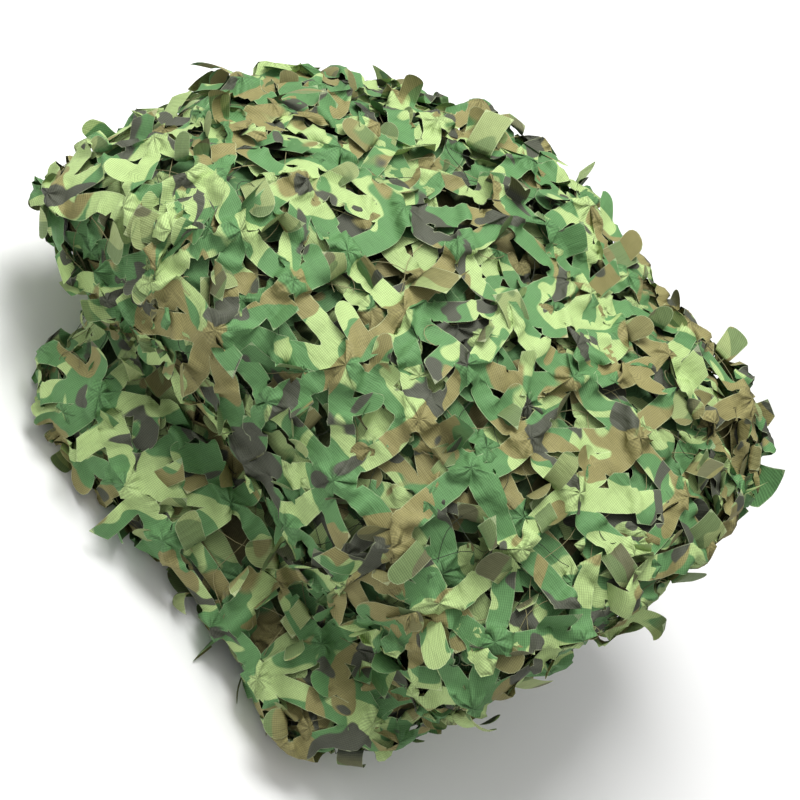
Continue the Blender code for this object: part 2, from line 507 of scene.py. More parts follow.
def within(points: np.ndarray, loop: np.ndarray) -> np.ndarray:
    """Find the points that lie inside a closed outline.

    Args:
        points: The points.
        loop: The outline.

    Returns:
        The numbers of the points inside.
    """
    near = np.flatnonzero(((points > loop.min(axis=0)) & (points < loop.max(axis=0))).all(axis=1))
    x, y = points[near].T
    inside = np.zeros(len(near), bool)
    for (x0, y0), (x1, y1) in zip(loop, np.roll(loop, -1, axis=0)):
        if y0 != y1:
            inside ^= ((y0 > y) != (y1 > y)) & (x < (x1 - x0) * (y - y0) / (y1 - y0) + x0)
    return near[inside]


@dataclass
class FlatCloth:
    """The cut cloth as a flat mesh, and its settled shape.

    A tongue is given by its outline, from one end of its root to the other. A hinge is the pair of
    points across an inner edge, and a strip is what lies between the stitches' seams.
    """

    uv: np.ndarray
    tris: np.ndarray
    edges: np.ndarray
    hinges: np.ndarray
    border: np.ndarray
    tongues: list[np.ndarray]
    nodes: np.ndarray
    strips: np.ndarray
    stitch_offset: np.ndarray
    settled: np.ndarray = field(default_factory=lambda: np.zeros((0, 3)))


@dataclass
class DieCut:
    """The die: openings between the stitch nodes, each with the tongues that the cuts leave in it.

    The cloth is taken as it lies once pulled open, when each J-shaped cut is a gap round a tongue
    and what is left between the gaps is a net of straight-edged bands, narrow at the nodes.
    """

    gather: float = 0.84
    node_jitter: float = 0.009
    corner_share: Pair = (0.68, 0.84)
    split_share: float = 0.45
    pair_share: float = 0.55
    split_band: float = 0.024
    round_share: float = 0.45
    round_radius: float = 0.012
    round_spread: float = 1.4
    round_most: float = 0.42
    round_points: int = 6
    tongue_width: Pair = (0.022, 0.032)
    tongue_reach: Pair = (0.032, 0.055)
    tongue_slant: float = 0.35
    lone_width: float = 0.62
    lone_start: Pair = (0.12, 0.88)
    pair_width: float = 0.40
    pair_start: Pair = (0.03, 0.10)
    pair_slant: float = 0.3
    room_share: float = 0.80
    point_share: float = 0.35
    tip_skew: float = 0.35
    tip_points: int = 9
    short_tip: float = 1.2
    point_pitch: float = 0.0046
    row_share: float = 0.866
    field_jitter: float = 0.06
    field_clear: float = 0.55
    seam_reach: float = 0.034
    selvedge: float = 0.025
    merge: float = 1e-7

    def windows(self, side: float, draw: np.random.Generator
                ) -> tuple[list[np.ndarray], list[np.ndarray], np.ndarray]:
        """Lay out the openings of a square sheet.

        Args:
            side: The flat sheet's side.
            draw: The random draw.

        Returns:
            The outlines of what is cut away, those of the tongues, and the stitch nodes.
        """
        cell = STITCH_PITCH / self.gather
        count = int((side - 2 * self.selvedge) / cell)
        ticks = np.arange(count + 1) * cell + (side - count * cell) / 2
        nodes = np.stack(np.meshgrid(ticks, ticks, indexing="ij"), axis=2)
        nodes += draw.normal(0, self.node_jitter, nodes.shape)
        gaps, tongues = [], []
        for i in range(count):
            for j in range(count):
                ring = nodes[[i, i + 1, i + 1, i], [j, j, j + 1, j + 1]]
                middle = ring.mean(axis=0)
                corners = middle + (ring - middle) * draw.uniform(*self.corner_share, (4, 1))
                for shape in self._split(corners, draw):
                    gap, inside = self._window(shape, draw)
                    gaps.append(gap)
                    tongues += inside
        return gaps, tongues, nodes.reshape(-1, 2)

    def _split(self, corners: np.ndarray, draw: np.random.Generator) -> list[np.ndarray]:
        """Leave an opening whole, or part it by a slanting band.

        Args:
            corners: The opening's four corners, anticlockwise.
            draw: The random draw.

        Returns:
            One shape of four corners or two of three.
        """
        if draw.random() > self.split_share:
            return [corners]
        corners = np.roll(corners, draw.integers(2), axis=0)
        shapes = []
        for k in (0, 2):
            first, tip, last = corners[k], corners[(k + 1) % 4], corners[(k + 2) % 4]
            cross = last - first
            depth = abs(cross[0] * (tip - first)[1] - cross[1] * (tip - first)[0]) / np.linalg.norm(cross)
            share = self.split_band / 2 / depth
            shapes.append(np.array([first + (tip - first) * share, tip, last + (tip - last) * share]))
        return shapes

    def _window(self, corners: np.ndarray, draw: np.random.Generator
                ) -> tuple[np.ndarray, list[np.ndarray]]:
        """Outline one opening and the tongues that stand in it.

        Args:
            corners: The opening's corners, anticlockwise.
            draw: The random draw.

        Returns:
            The outline of what is cut away, and its one or two tongues.
        """
        count = len(corners)
        sides = np.linalg.norm(np.roll(corners, -1, axis=0) - corners, axis=1)
        corners = np.roll(corners, -int(draw.choice(count, p=sides ** 2 / (sides ** 2).sum())), axis=0)
        paired = count == 4 and draw.random() < self.pair_share
        rooted = [k == 0 or (paired and k == 2) for k in range(count)]
        path, tongues = [], []
        for k in range(count):
            if rooted[k] or rooted[k - 1]:
                path.append(corners[k])
            else:
                path += self._corner(corners[k - 1], corners[k], corners[(k + 1) % count], draw)
            if rooted[k]:
                tongue = self._root(np.roll(corners, -k, axis=0), paired, draw)
                path += list(tongue)
                tongues.append(tongue)
        return self._dense(np.array(path + path[:1]))[:-1], tongues

    def _root(self, corners: np.ndarray, paired: bool, draw: np.random.Generator) -> np.ndarray:
        """Root a tongue on an opening's first side.

        Args:
            corners: The opening's corners, anticlockwise.
            paired: Whether another tongue reaches across from the far side, on the other half.
            draw: The random draw.

        Returns:
            The tongue's outline.
        """
        start, end = corners[0], corners[1]
        length = np.linalg.norm(end - start)
        along = (end - start) / length
        width = min(draw.uniform(*self.tongue_width),
                    length * (self.pair_width if paired else self.lone_width))
        if paired:
            left = draw.uniform(*self.pair_start) * length
        else:
            left = draw.uniform(*self.lone_start) * (length - width)
        slant = draw.uniform(-self.tongue_slant, self.tongue_slant) * (self.pair_slant if paired else 1.0)
        way = np.array([-along[1], along[0]]) + along * slant
        way /= np.linalg.norm(way)
        first, last = start + along * left, start + along * (left + width)
        room = self._room(corners, (first + last) / 2, way)
        reach = min(draw.uniform(*self.tongue_reach), room * self.room_share)
        return self._tongue(first, last, way, reach, draw)

    @staticmethod
    def _room(corners: np.ndarray, place: np.ndarray, way: np.ndarray, least: float = 0.002,
              slip: float = 0.01) -> float:
        """Measure how far a straight way goes before it meets another side.

        Args:
            corners: The opening's corners, the first two being the root's side.
            place: The start, on the root's side.
            way: The unit direction.
            least: The nearest that counts.
            slip: How far past its ends a side still counts, as a share of it.

        Returns:
            The distance.
        """
        best = 1.0
        for k in range(1, len(corners)):
            gap = corners[k] - place
            side = corners[(k + 1) % len(corners)] - corners[k]
            cross = way[0] * side[1] - way[1] * side[0]
            if abs(cross) < TINY:
                continue
            far = (gap[0] * side[1] - gap[1] * side[0]) / cross
            share = (gap[0] * way[1] - gap[1] * way[0]) / cross
            if far > least and -slip < share < 1 + slip:
                best = min(best, far)
        return best

    def _tongue(self, first: np.ndarray, last: np.ndarray, way: np.ndarray, reach: float,
                draw: np.random.Generator) -> np.ndarray:
        """Outline a tongue, with a round tip or a slanted square one.

        Args:
            first: The root's first end.
            last: The root's other end.
            way: The unit direction in which it reaches.
            reach: How far its tip is from its root.
            draw: The random draw.

        Returns:
            The outline from the first end to the other, backwards round the gap.
        """
        across = last - first
        width = np.linalg.norm(across)
        radius = width / 2
        if draw.random() < self.point_share or reach < radius * self.short_tip:
            skew = draw.uniform(-self.tip_skew, self.tip_skew)
            far = [last + way * reach * (1 + min(skew, 0)), first + way * reach * (1 - max(skew, 0))]
            return self._dense(np.array([last, *far, first]))[::-1]
        middle = (first + last) / 2 + way * (reach - radius)
        turn = np.linspace(0, math.pi, self.tip_points)
        unit = across / width
        cap = [middle + radius * (unit * math.cos(a) + way * math.sin(a)) for a in turn]
        return self._dense(np.array([last, *cap, first]))[::-1]

    def _corner(self, before: np.ndarray, corner: np.ndarray, after: np.ndarray,
                draw: np.random.Generator) -> list[np.ndarray]:
        """Keep a corner sharp or round it off.

        Args:
            before: The corner before it.
            corner: The corner.
            after: The corner after it.
            draw: The random draw.

        Returns:
            The corner's points.
        """
        if draw.random() > self.round_share:
            return [corner]
        back, ahead = before - corner, after - corner
        size = min(np.linalg.norm(back), np.linalg.norm(ahead)) * self.round_most
        size = min(size, self.round_radius * self.round_spread)
        back, ahead = back / np.linalg.norm(back) * size, ahead / np.linalg.norm(ahead) * size
        return [corner + back * (1 - t) ** 2 + ahead * t ** 2
                for t in np.linspace(0, 1, self.round_points)]

    def _dense(self, points: np.ndarray) -> np.ndarray:
        """Add points along a line's long stretches, keeping its corners.

        Args:
            points: The line.

        Returns:
            The line with no stretch longer than the point pitch.
        """
        out = [points[:1]]
        for a, b in zip(points[:-1], points[1:]):
            steps = max(1, round(np.linalg.norm(b - a) / self.point_pitch))
            out.append(a + (b - a) * np.arange(1, steps + 1)[:, None] / steps)
        return np.concatenate(out)

    def cut_sheet(self, side: float, spacing: float, draw: np.random.Generator) -> FlatCloth:
        """Mesh the pulled-open sheet without its gaps.

        Args:
            side: The flat sheet's side.
            spacing: The mesh's point spacing.
            draw: The random draw.

        Returns:
            The flat cloth.
        """
        gaps, tongues, nodes = self.windows(side, draw)
        field_points = self._field(side, spacing, np.concatenate([*gaps, nodes]), draw)
        points = [Vector(p) for p in np.concatenate([nodes, field_points])]
        edges, seams = [], []
        for loop in gaps:
            first, count = len(points), len(loop)
            points += [Vector(p) for p in loop]
            edges += [(first + k, first + (k + 1) % count) for k in range(count)]
            for node, place in enumerate(nodes):
                away = np.linalg.norm(loop - place, axis=1)
                if away.min() < self.seam_reach:
                    seams.append((node, first + int(away.argmin())))
        places, links, faces, _, sources, _ = delaunay_2d_cdt(points, edges + seams, [], 0, self.merge)
        uv, tris = np.array([p[:] for p in places]), np.array(faces)
        seamed = np.array([link for link, source in zip(links, sources)
                           if any(k >= len(edges) for k in source)])
        centres = uv[tris].mean(axis=1)
        stays = np.ones(len(tris), bool)
        for loop in gaps:
            stays[within(centres, loop)] = False
        tris = tris[stays]
        used, renumbered = points_of(tris, len(uv))
        return self._flat_cloth(uv[used], renumbered[tris], tongues, nodes, renumbered[seamed])

    def _field(self, side: float, spacing: float, cut_points: np.ndarray,
               draw: np.random.Generator) -> np.ndarray:
        """Spread points over the sheet, clear of the cut edges.

        Args:
            side: The sheet's side.
            spacing: The points' spacing.
            cut_points: The points of the cut edges.
            draw: The random draw.

        Returns:
            The points.
        """
        across, down = int(side / spacing), int(side / (spacing * self.row_share))
        x, y = np.meshgrid(np.arange(across + 1) * side / across, np.arange(down + 1) * side / down)
        x[1:-1:2, 1:-1] += spacing / 2
        points = np.c_[x.ravel(), y.ravel()]
        inner = (points.min(axis=1) > self.merge) & (points.max(axis=1) < side - self.merge)
        points[inner] += draw.normal(0, spacing * self.field_jitter, (inner.sum(), 2))
        cells: dict[tuple[int, int], list[np.ndarray]] = {}
        for point in cut_points:
            cells.setdefault((int(point[0] / spacing), int(point[1] / spacing)), []).append(point)
        reach = (self.field_clear * spacing) ** 2
        kept = []
        for x, y in points.tolist():
            i, j = int(x / spacing), int(y / spacing)
            near = (p for a in (-1, 0, 1) for b in (-1, 0, 1) for p in cells.get((i + a, j + b), ()))
            if all((p[0] - x) ** 2 + (p[1] - y) ** 2 > reach for p in near):
                kept.append((x, y))
        return np.array(kept)

    @staticmethod
    def _flat_cloth(uv: np.ndarray, tris: np.ndarray, tongues: list[np.ndarray], nodes: np.ndarray,
                    seams: np.ndarray) -> FlatCloth:
        """List the mesh's edges, the pairs of points across them, its border and its strips.

        Args:
            uv: The points.
            tris: The triangles.
            tongues: The tongues' outlines.
            nodes: The stitch nodes.
            seams: The edges that part the strips at the nodes.

        Returns:
            The flat cloth.
        """
        sides = np.concatenate([tris[:, [0, 1]], tris[:, [1, 2]], tris[:, [2, 0]]])
        apexes = np.concatenate([tris[:, 2], tris[:, 0], tris[:, 1]])
        edges, index, uses = np.unique(np.sort(sides, axis=1), axis=0, return_inverse=True,
                                       return_counts=True)
        order = np.argsort(index.ravel(), kind="stable")
        starts = np.cumsum(uses) - uses
        shared = starts[uses == 2]
        hinges = np.c_[apexes[order[shared]], apexes[order[shared + 1]]]
        border = np.zeros(len(uv), bool)
        border[edges[uses == 1]] = True
        owner = np.tile(np.arange(len(tris)), 3)[order]
        sewn = np.isin(edges[uses == 2] @ [len(uv), 1], np.sort(seams, axis=1) @ [len(uv), 1])
        joined = np.c_[owner[shared], owner[shared + 1]][~sewn]
        nearest = ((uv[:, None] - nodes) ** 2).sum(axis=2).argmin(axis=1)
        return FlatCloth(uv, tris, edges, hinges, border, tongues, nodes,
                         DieCut._strips(len(tris), joined), uv - nodes[nearest])

    @staticmethod
    def _strips(count: int, joined: np.ndarray) -> np.ndarray:
        """Number the strips between the nodes.

        Args:
            count: How many triangles there are.
            joined: The pairs of triangles that share an edge inside a strip.

        Returns:
            Each triangle's strip.
        """
        strip = np.arange(count)
        while True:
            before = strip.copy()
            low = np.minimum(strip[joined[:, 0]], strip[joined[:, 1]])
            np.minimum.at(strip, joined[:, 0], low)
            np.minimum.at(strip, joined[:, 1], low)
            strip = strip[strip]
            if (strip == before).all():
                return strip


@dataclass
class Settler:
    """Position-based solver: keeps edges at length, resists folding and lets the bands buckle."""

    amplitude: float = 0.012
    rise_wave: float = 0.075
    rise_mean: float = 0.7
    rise_seed: int = 8
    fade: float = 0.03
    pinch_radius: float = 0.008
    pinch: float = 0.40
    stitch_height: float = 0.002
    steps: int = 80
    tick: float = 1 / 60
    rounds: int = 4
    hinge_hold: float = 0.6
    hinge_bend: float = 0.998
    rod_hops: int = 3
    rod_share: float = 0.6
    rod_straight: float = 0.85
    rod_hold: float = 0.5
    rod_bend: float = 0.96
    lift_wave: float = 0.045
    lift_seed: int = 12
    lift_share: float = 0.7
    lift_push: float = 3.0
    rise_push: float = 1.0
    weight: float = 1.0
    kept_speed: float = 0.93
    top_speed: float = 1.2
    floor: float = -0.010

    def settle(self, cloth: FlatCloth, gather: float, draw: np.random.Generator) -> None:
        """Gather the cloth between its stitches and let it find its shape.

        Args:
            cloth: The flat cloth, which takes the settled shape.
            gather: The gathered size over the flat size.
            draw: The random draw.
        """
        held, targets = self._stitches(cloth, gather)
        spread = cloth.uv * gather
        away = np.full(len(spread), np.inf)
        for node in cloth.nodes * gather:
            away = np.minimum(away, ((spread - node) ** 2).sum(axis=1))
        rise = self.amplitude * (self.rise_mean + smooth_noise(cloth.uv, self.rise_wave, self.rise_seed))
        shape = np.c_[spread, rise * np.clip(np.sqrt(away) / self.fade, 0, 1)]
        shape = self._run(cloth, shape, held, targets, draw)
        cloth.settled = shape

    def _stitches(self, cloth: FlatCloth, gather: float) -> tuple[np.ndarray, np.ndarray]:
        """Find the points that each stitch pinches.

        Args:
            cloth: The flat cloth.
            gather: The gathered size over the flat size.

        Returns:
            The held points and where they are held.
        """
        held, targets = [], []
        for node in cloth.nodes:
            near = np.flatnonzero(((cloth.uv - node) ** 2).sum(axis=1) < self.pinch_radius ** 2)
            held.extend(near.tolist())
            targets.extend((node * gather + (cloth.uv[near] - node) * self.pinch).tolist())
        return np.array(held), np.array(targets)

    def _rods(self, cloth: FlatCloth) -> np.ndarray:
        """Pair points that lie a few edges apart on a straight line, never across a cut.

        Args:
            cloth: The flat cloth.

        Returns:
            The pairs.
        """
        count = len(cloth.uv)
        ways = np.concatenate([cloth.edges, cloth.edges[:, ::-1]])
        ways = ways[np.argsort(ways[:, 0], kind="stable")]
        start = np.searchsorted(ways[:, 0], np.arange(count + 1))
        nearby = np.full((count, int((start[1:] - start[:-1]).max())), -1)
        nearby[ways[:, 0], np.arange(len(ways)) - start[ways[:, 0]]] = ways[:, 1]
        back, here, first = ways[:, 0], ways[:, 1], ways[:, 0]
        for _ in range(self.rod_hops - 1):
            ahead = nearby[here]
            come = cloth.uv[here] - cloth.uv[back]
            go = cloth.uv[ahead] - cloth.uv[here][:, None]
            size = np.linalg.norm(come, axis=1)[:, None] * np.linalg.norm(go, axis=2) + SPECK
            straight = (come[:, None] * go).sum(axis=2) / size
            straight[ahead < 0] = -1
            best = straight.argmax(axis=1)
            rows = np.arange(len(best))
            good = straight[rows, best] > self.rod_straight
            back, here, first = here[good], ahead[rows, best][good], first[good]
        pairs = np.sort(np.c_[first, here], axis=1)
        return np.unique(pairs[pairs[:, 0] != pairs[:, 1]], axis=0)

    @staticmethod
    def _batches(pairs: np.ndarray, count: int) -> list[np.ndarray]:
        """Split pairs into batches in which no point comes twice.

        Args:
            pairs: The pairs of points.
            count: How many points there are.

        Returns:
            The batches.
        """
        used, batch = [0] * count, []
        for first, second in pairs.tolist():
            taken = used[first] | used[second]
            free = (~taken & (taken + 1)).bit_length() - 1
            used[first] |= 1 << free
            used[second] |= 1 << free
            batch.append(free)
        batch = np.array(batch)
        return [pairs[batch == k] for k in range(batch.max() + 1)]

    def _bonds(self, cloth: FlatCloth, free: np.ndarray, draw: np.random.Generator) -> list[tuple]:
        """Bond the cloth's points along its edges, over its hinges and along its rods.

        Args:
            cloth: The flat cloth.
            free: One for each point that may move, and zero for each stitched one.
            draw: The random draw.

        Returns:
            The batches: both ends, length, hold, whether it pulls too, and how much each end gives.
        """
        rods = self._rods(cloth)
        rods = rods[draw.permutation(len(rods))[:int(len(rods) * self.rod_share)]]
        bonds = []
        for pairs, hold, share, pulls in ((cloth.edges, 1.0, 1.0, True),
                                          (cloth.hinges, self.hinge_hold, self.hinge_bend, False),
                                          (rods, self.rod_hold, self.rod_bend, False)):
            for batch in self._batches(pairs, len(free)):
                i, j = batch[:, 0].copy(), batch[:, 1].copy()
                rest = np.linalg.norm(cloth.uv[i] - cloth.uv[j], axis=1) * share
                total = free[i] + free[j] + TINY
                bonds.append((i, j, rest, hold, pulls, free[i] / total, free[j] / total))
        return bonds

    def _run(self, cloth: FlatCloth, shape: np.ndarray, held: np.ndarray, targets: np.ndarray,
             draw: np.random.Generator) -> np.ndarray:
        """Step the solver.

        Args:
            cloth: The flat cloth.
            shape: The starting shape.
            held: The stitched points.
            targets: Where they are held.
            draw: The random draw.

        Returns:
            The settled shape.
        """
        free = np.ones(len(shape))
        free[held] = 0
        bonds = self._bonds(cloth, free, draw)
        lift = smooth_noise(cloth.uv, self.lift_wave, self.lift_seed)
        speed = np.zeros_like(shape)
        for step in range(self.steps):
            force = np.zeros_like(shape)
            if step < self.steps * self.lift_share:
                force[:, 2] += lift * self.lift_push + self.rise_push
            else:
                force[:, 2] -= self.weight
            speed = speed * self.kept_speed + force * self.tick
            before = shape.copy()
            shape = shape + speed * self.tick * free[:, None]
            shape[held, :2] = targets
            shape[held, 2] = self.stitch_height
            for _ in range(self.rounds):
                self._relax(shape, bonds)
            np.maximum(shape[:, 2], self.floor, out=shape[:, 2])
            speed = (shape - before) / self.tick
            fast = np.linalg.norm(speed, axis=1) + TINY
            speed *= np.minimum(1, self.top_speed / fast)[:, None]
        return shape

    @staticmethod
    def _relax(shape: np.ndarray, bonds: list[tuple]) -> None:
        """Move each bonded pair towards its length.

        Args:
            shape: The points, moved in place.
            bonds: The batches of bonds.
        """
        for i, j, rest, hold, pulls, share_i, share_j in bonds:
            gap = shape[j] - shape[i]
            size = np.sqrt((gap * gap).sum(axis=1)) + TINY
            miss = size - rest
            if not pulls:
                miss = np.minimum(miss, 0) * hold
            gap *= (miss / size)[:, None]
            shape[i] += gap * share_i[:, None]
            shape[j] -= gap * share_j[:, None]


class TongueLie(Enum):
    """How a tongue lies: its share of all, its angle off the band in degrees, its curl in 1/m."""

    RAISED = (0.42, (15, 70), (-12, 12))
    TURNED_OVER = (0.20, (130, 168), (-10, 6))
    CURLED = (0.22, (30, 62), (25, 50))
    SUNK = (0.16, (-35, -8), (-10, 0))


@dataclass
class TongueLifter:
    """Lifts each tongue about the line that joins the two ends of its cut."""

    crease: float = 0.006
    blend: float = 0.004
    ceiling: float = 0.032
    least_points: int = 4

    def lift(self, cloth: FlatCloth, draw: np.random.Generator) -> None:
        """Lift every tongue of the settled cloth.

        Args:
            cloth: The settled cloth, changed in place.
            draw: The random draw.
        """
        centres = cloth.uv[cloth.tris].mean(axis=1)
        lies = list(TongueLie)
        shares = np.array([lie.value[0] for lie in lies])
        for outline in cloth.tongues:
            _, angles, curls = lies[draw.choice(len(lies), p=shares / shares.sum())].value
            angle, curl = math.radians(draw.uniform(*angles)), draw.uniform(*curls)
            points = np.unique(cloth.tris[within(centres, outline)])
            if len(points) >= self.least_points:
                self._turn(cloth, points, outline, angle, curl)
        height = cloth.settled[:, 2]
        cloth.settled[:, 2] = np.where(height > 0, self.ceiling * np.tanh(height / self.ceiling), height)

    def _turn(self, cloth: FlatCloth, points: np.ndarray, outline: np.ndarray, angle: float,
              curl: float) -> None:
        """Turn one tongue about its root line and curl it.

        Args:
            cloth: The cloth, changed in place.
            points: The tongue's points.
            outline: The tongue's outline.
            angle: How far it turns.
            curl: How fast it goes on bending.
        """
        chord = outline[-1] - outline[0]
        size = np.linalg.norm(chord)
        flat = cloth.uv[points] - outline[0]
        along = flat @ chord / size ** 2
        off = np.abs(flat[:, 0] * chord[1] - flat[:, 1] * chord[0]) / size
        ends = [cloth.settled[((cloth.uv - end) ** 2).sum(axis=1).argmin()]
                for end in (outline[0], outline[-1])]
        root = ends[1] - ends[0]
        way = cloth.settled[points].mean(axis=0) - (ends[0] + ends[1]) / 2
        way -= root * (way @ root) / (root @ root)
        way /= np.linalg.norm(way) + TINY
        up = np.cross(root, way)
        up *= np.sign(up[2] + TINY) / (np.linalg.norm(up) + TINY)
        bent = np.minimum(off / self.crease, 1) * angle
        radius = self.crease / angle
        out, rise = radius * np.sin(bent), radius * (1 - np.cos(bent))
        rest = np.maximum(off - self.crease, 0)
        last = angle + curl * rest
        out += (np.sin(last) - math.sin(angle)) / curl
        rise += (math.cos(angle) - np.cos(last)) / curl
        turned = ends[0] + along[:, None] * root + out[:, None] * way + rise[:, None] * up
        share = np.clip(off / self.blend, 0, 1)[:, None]
        cloth.settled[points] = cloth.settled[points] * (1 - share) + turned * share


# ---------------------------------------------------------------- the bundle's skin


@dataclass
class BundleSkin:
    """A smooth closed skin round the folded solid, without its leaves and narrow gaps."""

    cell: float = 0.010
    pad: int = 5
    close_cells: int = 2
    open_cells: int = 1
    blurs: int = 3
    level: float = 0.5
    evenings: int = 6
    evening: float = 0.6
    merge: float = 1e-6
    past_hit: float = 1e-5
    seen_from: float = 2.0
    origin: np.ndarray = field(init=False)
    counts: np.ndarray = field(init=False)
    points: np.ndarray = field(init=False)
    quads: np.ndarray = field(init=False)
    tree: BVHTree = field(init=False)

    def __post_init__(self) -> None:
        """Fill a grid from the solid, round it off and skin it."""
        low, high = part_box(NODE)
        self.origin = np.array(low) - self.pad * self.cell
        self.counts = np.ceil((np.array(high) - np.array(low)) / self.cell).astype(int) + 2 * self.pad
        grid = self._filled().astype(float)
        for _ in range(self.close_cells):
            grid = self._grown(grid)
        for _ in range(self.close_cells + self.open_cells):
            grid = 1 - self._grown(1 - grid)
        for _ in range(self.open_cells):
            grid = self._grown(grid)
        for _ in range(self.blurs):
            for axis in range(3):
                grid = (np.roll(grid, 1, axis) + 2 * grid + np.roll(grid, -1, axis)) / 4
        self.points, self.quads = self._surface(grid)
        self._round_off()
        self.tree = BVHTree.FromPolygons([Vector(p) for p in self.points], self.quads.tolist())

    def _filled(self) -> np.ndarray:
        """Mark the grid's points that lie inside the solid.

        Returns:
            True inside.
        """
        mesh = bmesh.new()
        mesh.from_mesh(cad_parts[NODE].data)
        bmesh.ops.remove_doubles(mesh, verts=mesh.verts, dist=self.merge)
        solid = BVHTree.FromBMesh(mesh)
        mesh.free()
        inside = np.zeros(self.counts, bool)
        heights = self.origin[2] + (np.arange(self.counts[2]) + 0.5) * self.cell
        up = Vector((0, 0, 1))
        for i in range(self.counts[0]):
            for j in range(self.counts[1]):
                x, y = self.origin[:2] + (np.array([i, j]) + 0.5) * self.cell
                start = Vector((x, y, self.origin[2]))
                while True:
                    hit = solid.ray_cast(start, up)[0]
                    if hit is None:
                        break
                    inside[i, j] ^= heights > hit.z
                    start = hit + up * self.past_hit
        return inside

    @staticmethod
    def _grown(grid: np.ndarray) -> np.ndarray:
        """Grow the marked region by one grid step each way.

        Args:
            grid: One inside the region and zero outside.

        Returns:
            The same for the grown region.
        """
        out = grid
        for axis in range(3):
            out = np.maximum(out, np.maximum(np.roll(grid, 1, axis), np.roll(grid, -1, axis)))
        return out

    def _surface(self, grid: np.ndarray) -> tuple[np.ndarray, np.ndarray]:
        """Skin the grid where it crosses the level, one point a mixed cell and one quad a crossing.

        Args:
            grid: The field's values at the grid's points.

        Returns:
            The points and the quads, facing outwards.
        """
        n = np.array(grid.shape) - 1
        corner = {}
        for offset in np.ndindex(2, 2, 2):
            i, j, k = offset
            corner[offset] = grid[i:i + n[0], j:j + n[1], k:k + n[2]]
        total = np.zeros((*n, 3))
        hits = np.zeros(n)
        for axis in range(3):
            for offset in np.ndindex(2, 2, 2):
                if offset[axis]:
                    continue
                other = tuple(1 if k == axis else v for k, v in enumerate(offset))
                a, b = corner[offset], corner[other]
                crossed = (a > self.level) != (b > self.level)
                share = np.where(crossed, (self.level - a) / np.where(crossed, b - a, 1), 0)
                place = np.zeros((*n, 3)) + np.array(offset)
                place[..., axis] = share
                total += place * crossed[..., None]
                hits += crossed
        mixed = hits > 0
        index = np.full(n, -1)
        index[mixed] = np.arange(mixed.sum())
        cells = np.argwhere(mixed)
        points = self.origin + (cells + total[mixed] / hits[mixed][:, None] + 0.5) * self.cell
        quads = []
        for axis in range(3):
            others = [(axis + 1) % 3, (axis + 2) % 3]
            first, second = (np.take(grid > self.level, range(k, k + n[axis]), axis) for k in (0, 1))
            base = np.argwhere(first != second)
            base = base[((base[:, others] > 0) & (base[:, others] < n[others])).all(axis=1)]
            ring = []
            for step in ((0, 0), (-1, 0), (-1, -1), (0, -1)):
                cell = base.copy()
                cell[:, others] += step
                ring.append(index[tuple(cell.T)])
            ring = np.stack(ring, axis=1)
            quads.append(np.where(first[tuple(base.T)][:, None], ring, ring[:, ::-1]))
        return points, np.concatenate(quads)

    def _round_off(self) -> None:
        """Even out the skin's points among their neighbours."""
        pairs = np.concatenate([self.quads[:, [k, (k + 1) % 4]] for k in range(4)])
        pairs = np.concatenate([pairs, pairs[:, ::-1]])
        near = np.bincount(pairs[:, 0], minlength=len(self.points))[:, None]
        for _ in range(self.evenings):
            mean = np.stack([np.bincount(pairs[:, 0], self.points[pairs[:, 1], k], len(self.points))
                             for k in range(3)], axis=1) / near
            self.points = self.points * (1 - self.evening) + mean * self.evening

    def seat(self, aim: Way, outward: Way) -> tuple[Vector, Vector]:
        """Find the skin's point that shows first from outside.

        Args:
            aim: A point in the bundle.
            outward: The direction from it to the outside.

        Returns:
            The skin's point and its normal.
        """
        way = Vector(outward).normalized()
        hit, normal, _, _ = self.tree.ray_cast(Vector(aim) + way * self.seen_from, -way)
        return hit, normal


